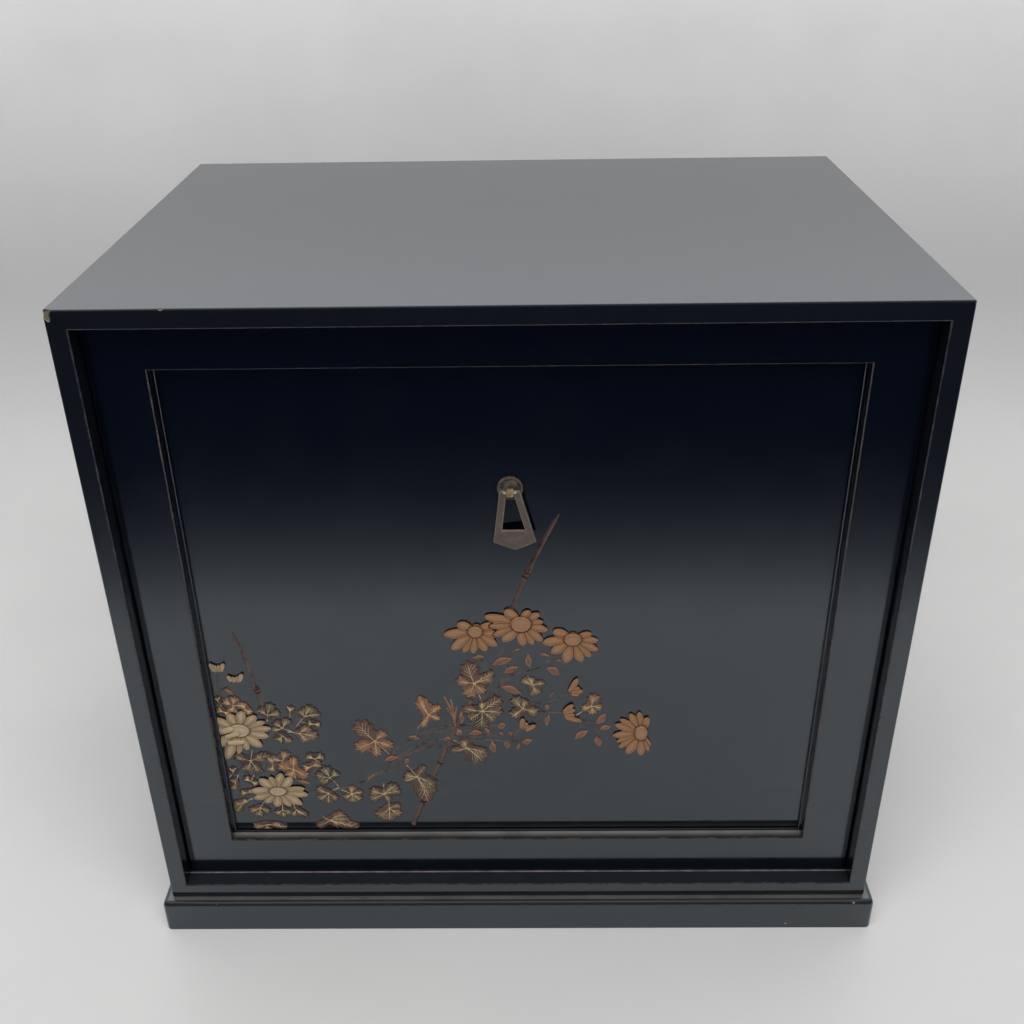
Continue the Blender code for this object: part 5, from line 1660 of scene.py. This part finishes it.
@dataclass
class Door:
    """The lift-out door: frame and field. The field's sizes place the sheet, in metres."""

    bead: float = 0.0012
    bead_depth: float = 0.0010
    bead_gap: float = 0.0003
    bead_overlap: float = 0.0012
    bead_rounding: float = 0.0005
    upper_tongue: float = 0.0048
    lower_tongue: float = 0.0018
    tongue_spare: float = 0.002
    panel_thickness: float = 0.0055
    panel_edge_in_housing: float = 0.0037
    arris: float = 0.0007
    dust_and_shade_ramp_start: float = 0.0008
    sheet_corner: Place = (-154.7, 53.2)

    def __post_init__(self) -> None:
        """Read the door's faces and the sight opening from the frame."""
        left_low, left_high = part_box("door_stile_left")
        self.low = Vector((left_low.x, left_low.y, left_low.z + self.lower_tongue))
        self.high = Vector((-left_low.x, left_high.y, left_high.z - self.upper_tongue))
        panel_low, panel_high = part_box("door_panel")
        edge = Vector((self.panel_edge_in_housing, 0.0, self.panel_edge_in_housing))
        self.panel_low = Vector((panel_low.x, panel_high.y - self.panel_thickness, panel_low.z))
        self.panel_high = panel_high
        self.sight_low = self.panel_low + edge
        self.sight_high = self.panel_high - edge

    def sheet(self) -> Sheet:
        """The sheet for the spray, laid on the field inside the bead."""
        across, up = self.sheet_corner
        inset = (self.bead + self.bead_gap) / MM
        width = (self.sight_high.x - self.sight_low.x) / MM
        height = (self.sight_high.z - self.sight_low.z) / MM
        return Sheet(self.sheet_corner, self.sight_low, (across + inset, up + inset),
                     (across + width - inset, up + height - inset))

    def build(self, pockets: Sequence[Item]) -> list[Piece]:
        """Model the frame and the field. The pockets cut the seats of the inlays in it."""
        return [Piece(self.frame(), "lacquer", ("door_stile_left", "door_stile_right",
                                                "door_rail_top", "door_rail_bottom")),
                Piece(self.field(pockets), "lacquer", ("door_panel",))]

    def frame(self) -> Item:
        """Inset and bridge a block into the frame, ease its arrises and add bead and tongues."""
        frame = rectangular_tube("door_frame", self.low, self.high, Axis.Y,
                                 self.sight_low, self.sight_high)
        # Partly dust, partly painted shade: the sight ledge's film ramps up from its front to its back
        ledge = replace(DUSTY, name="dusty sight ledge with painted shade", film_share=0.8,
                        dust_and_shade_ramp=(self.low.y + self.dust_and_shade_ramp_start, self.panel_low.y - self.bead_depth))
        give_slots(frame, LACQUER, DOOR_EDGE, ledge)

        def sight(place: Vector) -> bool:
            """Say whether a place is a front corner of the sight opening."""
            return near(place.y, self.low.y) and near(abs(place.x), self.sight_high.x)

        def rim(place: Vector) -> bool:
            """Say whether a place is a front corner of the frame's outside."""
            return near(place.y, self.low.y) and near(abs(place.x), self.high.x)

        bevel_edges(frame, both(sight), self.arris, 3, SECOND)
        bevel_edges(frame, both(rim), self.arris, 2)
        combine(frame, self.bead_ring(), "UNION")
        middle = (self.low.y + self.high.y) / 2
        for name, bottom, top in (
                ("upper_tongue", self.high.z - self.tongue_spare, self.high.z + self.upper_tongue),
                ("lower_tongue", self.low.z - self.lower_tongue, self.low.z + self.tongue_spare)):
            combine(frame, add_box(name, Vector((self.low.x, middle - TONGUE / 2, bottom)),
                                   Vector((self.high.x, middle + TONGUE / 2, top))), "UNION")
        gap = Vector((self.bead_gap, self.bead_gap, self.bead_gap))
        combine(frame, add_box("housing", self.panel_low - gap, self.panel_high + gap), "DIFFERENCE")
        lay_dust(frame, THIRD, lambda middle: middle.y < self.panel_low.y
                 and self.low.z < middle.z < self.sight_low.z + TOUCH)
        polish(frame)
        return frame

    def bead_ring(self) -> Item:
        """The narrow bead at the foot of the reveal, rounded at its front."""
        overlap = Vector((self.bead_overlap, 0.0, self.bead_overlap))
        back = self.panel_low.y - self.bead_gap
        low, high = self.sight_low - overlap, self.sight_high + overlap
        low.y, high.y = back - self.bead_depth, back
        inner = Vector((self.bead, 0.0, self.bead))
        ring = rectangular_tube("bead", low, high, Axis.Y, self.sight_low + inner,
                                self.sight_high - inner)
        give_slots(ring, LACQUER, DOOR_EDGE)
        inside = self.sight_high.x - self.bead
        bevel_edges(ring, both(lambda end: near(end.y, low.y) and near(abs(end.x), inside)),
                    self.bead_rounding, 3)
        return ring

    def field(self, pockets: Sequence[Item]) -> Item:
        """The panel with the seats of the inlays cut in it."""
        board = add_box("door_field", self.panel_low, self.panel_high)
        # The second slot holds the painted shade of the inlays' seats
        give_slots(board, LACQUER, INLAY_GAP_SHADE)
        for pocket in pockets:
            combine(board, pocket, "DIFFERENCE")
        return board


@dataclass
class Spray:
    """The chrysanthemum spray on the field: carved inlays and raised lacquer."""

    sheet: Sheet
    inlay_depth: float = 0.7
    pocket_gap: float = 0.22
    pocket_depth: float = 0.8
    cutter_height: float = 4.0
    cutter_columns: int = 96
    bloom_grid: tuple[int, int] = (360, 42)
    bud_grid: tuple[int, int] = (160, 20)
    leaf_grid: tuple[int, int] = (120, 12)
    leaflet_grid: tuple[int, int] = (40, 5)
    leaf_foot: float = 0.3
    leaf_steps: int = 5
    leaf_step: float = 0.03
    leaflet_hook: float = 0.22
    vein_radius: float = 0.23
    stem_radius: float = 0.7

    def pockets(self) -> list[Item]:
        """Cutters for the seats of the inlays, a little larger than each."""
        made = []
        for flower in FLOWERS:
            form = self.form_of(flower)
            tall = replace(form, height=lambda flat: np.full(len(flat), self.cutter_height))
            cutter = carve(flower.node + "_seat", self.sheet, tall, self.cutter_columns, 1,
                           self.pocket_depth, self.pocket_gap)
            # The cutter carries the painted shade colour on to the seat's walls
            give_slots(cutter, INLAY_GAP_SHADE)
            made.append(cutter)
        return made

    def form_of(self, flower: Flower) -> Carving:
        """The flower's form, cut off where the middle bloom lies over it."""
        middle = next(other for other in FLOWERS if other.node == "bloom_upper_middle")
        covered = flower.node in ("bloom_upper_left", "bloom_upper_right")
        return flower.carving(self.sheet, middle if covered else None)

    def build(self) -> list[Piece]:
        """Model every inlay and the raised lacquer."""
        return [*(self.inlay(flower) for flower in FLOWERS), *self.raised_lacquer()]

    def inlay(self, flower: Flower) -> Piece:
        """Carve one bloom or bud."""
        form = self.form_of(flower)
        grid = self.bloom_grid if flower.node.startswith("bloom") else self.bud_grid
        item = carve(flower.node + "_carving", self.sheet, form, *grid, self.inlay_depth)
        flat = self.sheet.flatten(vertex_places(item))
        height = form.height(flat) - flower.lift
        # The carving share sets the painted shade of the grooves and the painted highlight of the crests
        paint(item, "carving", np.clip((height - 0.4) / 0.95, 0.0, 1.0))
        give_slots(item, flower.look, INLAY_GAP_SHADE)
        # Painted shade: the inlay's side walls get the dark colour
        for face in item.data.polygons:
            face.material_index = SECOND if abs(face.normal.y) < 0.25 else FIRST
        smooth(item, 50.0)
        return Piece(item, flower.look.slot, (flower.node,))

    def raised_lacquer(self) -> list[Piece]:
        """Leaves with their veins, leaflets, stems, bamboo and the straw tie."""
        leaves, veins = self.leaves()
        return [Piece(item, "lacquer", ("door_panel",)) for item in (
            leaves, veins, self.leaflets(), self.stems(), self.bamboo(), self.straw())]

    def leaves(self) -> tuple[Item, Item]:
        """Carve each lobed leaf and lay its veins on it."""
        forms, runs = [], []
        for index, leaf in enumerate(LEAVES):
            form = leaf.carving(self.sheet, self.leaf_step * (index % self.leaf_steps))
            item = carve(f"leaf_{index:02d}", self.sheet, form, *self.leaf_grid, self.leaf_foot)
            flat = self.sheet.flatten(vertex_places(item))
            rose, warm, gild = leaf.tints(flat).T
            inside = np.maximum(-form.gap(flat), 0.0)
            heart = np.linalg.norm(flat - np.array(leaf.heart), axis=1)
            paint(item, "rose", np.clip(rose + 0.5 * ripple(inside, 0.3, 0.5), 0.0, 1.0))
            paint(item, "warm", warm * ease(0.4 + inside / 1.8))
            web = 0.12 + 0.4 * ripple(heart, 0.0, 2.0)
            paint(item, "gild", gild * web * ease(inside / 1.2))
            # The carving share also sets the painted shade at the leaf's rim
            paint(item, "carving", ease(inside / 0.6))
            forms.append(item)
            runs.extend(self.vein(line[:3], line[3], line[4], form) for line in leaf.veins())
        return (join("leaf_lacquer", forms, LEAF),
                make_tubes("leaf_veins", [run for run in runs if run is not None], VEIN, 1))

    def vein(self, line: Sequence[np.ndarray], thickness: float, held: bool,
             form: Carving) -> np.ndarray | None:
        """Bend a vein's line, taper it and lay it on the leaf.

        Args:
            line: Its start, middle and end on the sheet.
            thickness: Its radius over the thickest vein's.
            held: Whether it stays inside the leaf's edge.
            form: The leaf it lies on.

        Returns:
            Rows of place and radius, or nothing where it would lie off the field.
        """
        start, middle, end = line
        share = np.linspace(0.0, 1.0, 6)[:, None]
        flat = ((1 - share) ** 2 * start + 2 * share * (1 - share) * middle + share ** 2 * end)
        kept = self.sheet.outside(flat) < -0.4
        if held:
            kept &= form.gap(flat) < -0.3
        if kept.sum() < 3:
            return None
        flat = flat[kept]
        taper = self.vein_radius * thickness * (1.0 - 0.5 * share[kept, 0])
        height = np.where(form.gap(flat) < 0.0, form.height(flat), 0.05) - 0.3 * taper
        return np.column_stack((self.sheet.place(flat, height), taper * MM))

    def leaflets(self) -> Item:
        """Carve the small pointed leaves."""
        forms = []
        for index, (across, up, length, width, turn) in enumerate(LEAFLETS):
            axis = np.array((math.cos(math.radians(turn)), math.sin(math.radians(turn))))
            middle = np.array((across, up), float)
            blade = Petals((middle - axis * length / 2)[None], (middle + axis * length / 2)[None],
                           np.array([width * 0.6]), 0.3, 1.8)
            hook = self.leaflet_hook * length * (1.0, -1.0)[index % 2]

            def gap(flat: np.ndarray, blade: Petals = blade, axis: np.ndarray = axis,
                    middle: np.ndarray = middle, length: float = length,
                    hook: float = hook) -> np.ndarray:
                """Distance from the leaflet's outline, with its tip hooked to one side."""
                along = (flat - middle) @ axis / length + 0.5
                aside = np.array((-axis[1], axis[0]))
                bent = flat - np.outer(hook * (along ** 2 - 0.25), aside)
                return np.maximum(blade.gaps(bent)[:, 0], self.sheet.outside(flat))

            def height(flat: np.ndarray, gap: Field = gap) -> np.ndarray:
                """How high the leaflet stands."""
                inside = np.maximum(-gap(flat), 0.0)
                return 0.25 + 0.45 * ease(inside / 0.5) - 0.2 * ease((inside - 0.5) / 0.8)

            form = Carving(tuple(middle), gap, height, length / 2 + 2.0)
            item = carve(f"leaflet_{index:02d}", self.sheet, form, *self.leaflet_grid, self.leaf_foot)
            flat = self.sheet.flatten(vertex_places(item))
            inside = np.maximum(-gap(flat), 0.0)
            spine = ripple((flat - middle) @ np.array((-axis[1], axis[0])), 0.0, 0.3)
            paint(item, "rose", 0.85 - 0.5 * spine)
            paint(item, "warm", (0.3 + 0.6 * ripple(inside, 0.3, 0.35)) * (1.0 - 0.7 * spine))
            paint(item, "gild", np.full(len(flat), 0.12))
            # The carving share also sets the painted shade at the leaflet's rim
            paint(item, "carving", ease(0.2 + inside / 0.5))
            forms.append(item)
        return join("leaflet_lacquer", forms, LEAFLET)

    def run(self, points: Sequence[Sequence[float]], sink: float, count: int = 14) -> np.ndarray:
        """Smooth a line on the sheet through its points and sink it in the field.

        Args:
            points: Rows of across, up and half-width.
            sink: How far its middle lies below the field, over its half-width.
            count: How many points the smooth line has.

        Returns:
            Rows of place and radius in metres.
        """
        rows = np.array(points, float)
        length = np.concatenate(([0.0], np.cumsum(np.linalg.norm(np.diff(rows[:, :2], axis=0), axis=1))))
        at = np.linspace(0.0, length[-1], count)
        soft = np.column_stack([np.interp(at, length, rows[:, index]) for index in range(3)])
        for _ in range(2):
            soft[1:-1] = (soft[:-2] + 2 * soft[1:-1] + soft[2:]) / 4
        return np.column_stack((self.sheet.place(soft[:, :2], -sink * soft[:, 2]), soft[:, 2] * MM))

    def stems(self) -> Item:
        """The dark stalks that carry the leaves and flowers."""
        runs = []
        for points in STEMS:
            last = len(points) - 1
            rows = [(*place, self.stem_radius * (1.0 - 0.25 * index / last))
                    for index, place in enumerate(points)]
            runs.append(self.run(rows, 0.25))
        return make_tubes("stem_lacquer", runs, STALK)

    def bamboo(self) -> Item:
        """Bamboo poles: straight lengths, each with a swollen ring at its ends."""
        runs = []
        for points in POLES:
            rows = self.run(points, 0.55, 18)
            along = np.linspace(0.0, 1.0, len(rows))
            swell = 1.0 + 0.25 * (ripple(along, 0.0, 0.04) + ripple(along, 1.0, 0.04))
            rows[:, 3] *= np.where(rows[:, 3] > 0.0012, swell, 1.0)
            runs.append(rows)
        return make_tubes("bamboo_lacquer", runs, BAMBOO, 3)

    def straw(self) -> Item:
        """The straw tie: splayed ends, a bound neck and the knot."""
        runs = [self.run(points, 0.0) for points in STRAWS]
        knot = [(-29.2 + 1.8 * math.cos(turn), 122.4 + 1.5 * math.sin(turn), 0.42)
                for turn in np.linspace(0.0, math.tau * 0.92, 14)]
        runs.append(self.run(knot, 0.0, 20))
        return make_tubes("straw_tie", runs, STRAW)


@dataclass
class Pull:
    """The pull: a domed plate, an eye and the hanging drop on its pin, in metres and degrees."""

    pivot: Vector
    plate_steps: tuple[Place, ...] = ((0.0007, -0.0001), (0.0004, 0.0004), (0.0005, 0.0),
                                      (0.0008, -0.00015), (0.0010, -0.0001), (0.0010, -0.00005))
    plate_edge: float = 0.00035
    plate_rim: float = 0.0010
    eye_width: float = 0.0033
    eye_share: float = 0.88
    eye_edge: float = 0.0004
    shank_radius: float = 0.001
    bore_radius: float = 0.0009
    bore_length: float = 0.01
    notch_size: Triple = (0.0017, 0.0011, 0.0019)
    notch_rise: float = 0.0001
    notch_edge: float = 0.0003
    drop_edge: float = 0.00035
    drop_lean: float = -4.4
    drop_turn: float = -7.0
    pin_radius: float = 0.0006
    pin_length: float = 0.0074
    boss_radius: float = 0.0006
    boss_place: float = 0.0025
    boss_rise: float = 0.0005

    def build(self) -> list[Piece]:
        """Model the plate, the eye and the drop."""
        return [Piece(self.plate(), "bronze", ("pull_plate",)), Piece(self.eye(), "brass", ("pull_eye",)),
                Piece(self.drop(), "bronze", ("pull_drop",), "pull")]

    def plate(self) -> Item:
        """Turn the plate: a disc with a raised rim, a groove and a low dome."""
        low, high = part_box("pull_plate")
        middle = (low + high) / 2
        radius = (high.x - low.x) / 2
        plate = add_cylinder("pull_rose", radius, high.y - low.y, middle, Axis.Y, 64)
        with editing(plate):
            pick(plate, Element.FACE, lambda centre, normal: normal.y < -0.9)
            for inset, sink in self.plate_steps:
                bpy.ops.mesh.inset(thickness=inset)
                bpy.ops.transform.translate(value=(0.0, sink, 0.0))
        bevel_edges(plate, lambda a, b: near(a.y, low.y) and near(b.y, low.y)
                    and near((a - middle).xz.length, radius), self.plate_edge, 3, SECOND)
        give_slots(plate, PLATE, BRONZE_EDGE, BRONZE)
        for face in plate.data.polygons:
            outward = (face.center - middle).xz.length
            if face.normal.y < -0.8 and outward > radius - self.plate_rim:
                face.material_index = THIRD
        smooth(plate, 40.0)
        return plate

    def eye(self) -> Item:
        """The eye: a short thick roll with a lip, on its shank through the plate."""
        low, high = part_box("pull_eye")
        half = (high.z - low.z) / 2
        radius = half * self.eye_share
        middle = Vector(((low.x + high.x) / 2, low.y + half, (low.z + high.z) / 2))
        roll = add_cylinder("pull_eye_roll", radius, self.eye_width, middle, Axis.X, 40)
        bevel_edges(roll, lambda a, b: near(a.x, b.x), self.eye_edge, 3)
        seat = (middle.x, (middle.y + high.y) / 2, middle.z)
        combine(roll, add_cylinder("shank", self.shank_radius, high.y - middle.y, seat, Axis.Y,
                                   24), "UNION")
        combine(roll, add_cylinder("bore", self.bore_radius, self.bore_length, middle, Axis.X,
                                   24), "DIFFERENCE")
        size = Vector(self.notch_size)
        centre = middle + Vector((0.0, -radius, self.notch_rise))
        notch = add_box("notch", centre - size / 2, centre + size / 2)
        bevel_edges(notch, lambda a, b: True, self.notch_edge, 2)
        combine(roll, notch, "DIFFERENCE")
        give_slots(roll, BRASS)
        smooth(roll, 40.0)
        return roll

    def drop(self) -> Item:
        """Cut the drop from a plate: two arms round the eye, a window and a shallow point."""
        thickness = 0.0015
        arm, shoulder = 0.002, 0.0049
        top, throat, window, corner, tip = 0.0012, -0.0019, -0.0194, -0.0256, -0.0298
        foot, window_foot = 0.01005, 0.00545
        half = [(0.0, window), (window_foot, window), (arm, throat), (arm, top),
                (shoulder - top / 2, top), (shoulder, top / 2), (foot, corner)]
        outline = [*half, (0.0, tip), *[(-x, z) for x, z in reversed(half[1:])]]
        curve = bpy.data.curves.new("pull_pendant", "CURVE")
        curve.dimensions = "2D"
        curve.fill_mode = "BOTH"
        curve.extrude = thickness / 2 - self.drop_edge
        curve.bevel_depth = self.drop_edge
        curve.bevel_resolution = 1
        curve.offset = -self.drop_edge
        spline = curve.splines.new("POLY")
        spline.points.add(len(outline) - 1)
        for point, (x, z) in zip(spline.points, outline):
            point.co = (x, z, 0.0, 1.0)
        spline.use_cyclic_u = True
        drop = curve_to_mesh(curve)
        drop.rotation_euler = (math.pi / 2, 0.0, 0.0)
        settle(drop)
        combine(drop, add_cylinder("pin", self.pin_radius, self.pin_length, (0.0, 0.0, 0.0),
                                   Axis.X, 20), "UNION")
        for side in (-1.0, 1.0):
            bpy.ops.mesh.primitive_uv_sphere_add(
                segments=20, ring_count=12, radius=self.boss_radius,
                location=(side * self.boss_place, -thickness / 2, self.boss_rise))
            combine(drop, settle(bpy.context.object), "UNION")
        give_slots(drop, BRONZE, BRONZE_EDGE, STEEL)
        for face in drop.data.polygons:
            middle = face.center
            offset = Vector((abs(middle.x) - self.boss_place, middle.y + thickness / 2,
                             middle.z - self.boss_rise))
            boss = (offset.length < self.boss_radius * 1.02 and middle.y < -thickness / 2 - TOUCH)
            pin_part = boss or (abs(middle.x) < arm - TOUCH and middle.z > throat + TOUCH)
            flat = abs(face.normal.y) > 0.97
            face.material_index = THIRD if pin_part else (FIRST if flat else SECOND)
        drop.rotation_euler = (0.0, math.radians(self.drop_lean), math.radians(self.drop_turn))
        drop.location = self.pivot
        settle(drop)
        polish(drop, 25.0)
        return drop


def main() -> None:
    """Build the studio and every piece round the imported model."""
    logging.basicConfig(level=logging.INFO, format="%(name)s: %(message)s")
    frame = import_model()
    swing = next(joint for joint in frame["joints"] if joint["name"] == "pull_swing")
    Studio().build()
    door = Door()
    spray = Spray(door.sheet())
    pieces = [*Carcass().build(), *Plinth().build(), *door.build(spray.pockets()),
              *spray.build(), *Pull(Vector(swing["pos_m"])).build()]
    for piece in pieces:
        piece.hand_over()


if __name__ == "__main__":
    main()
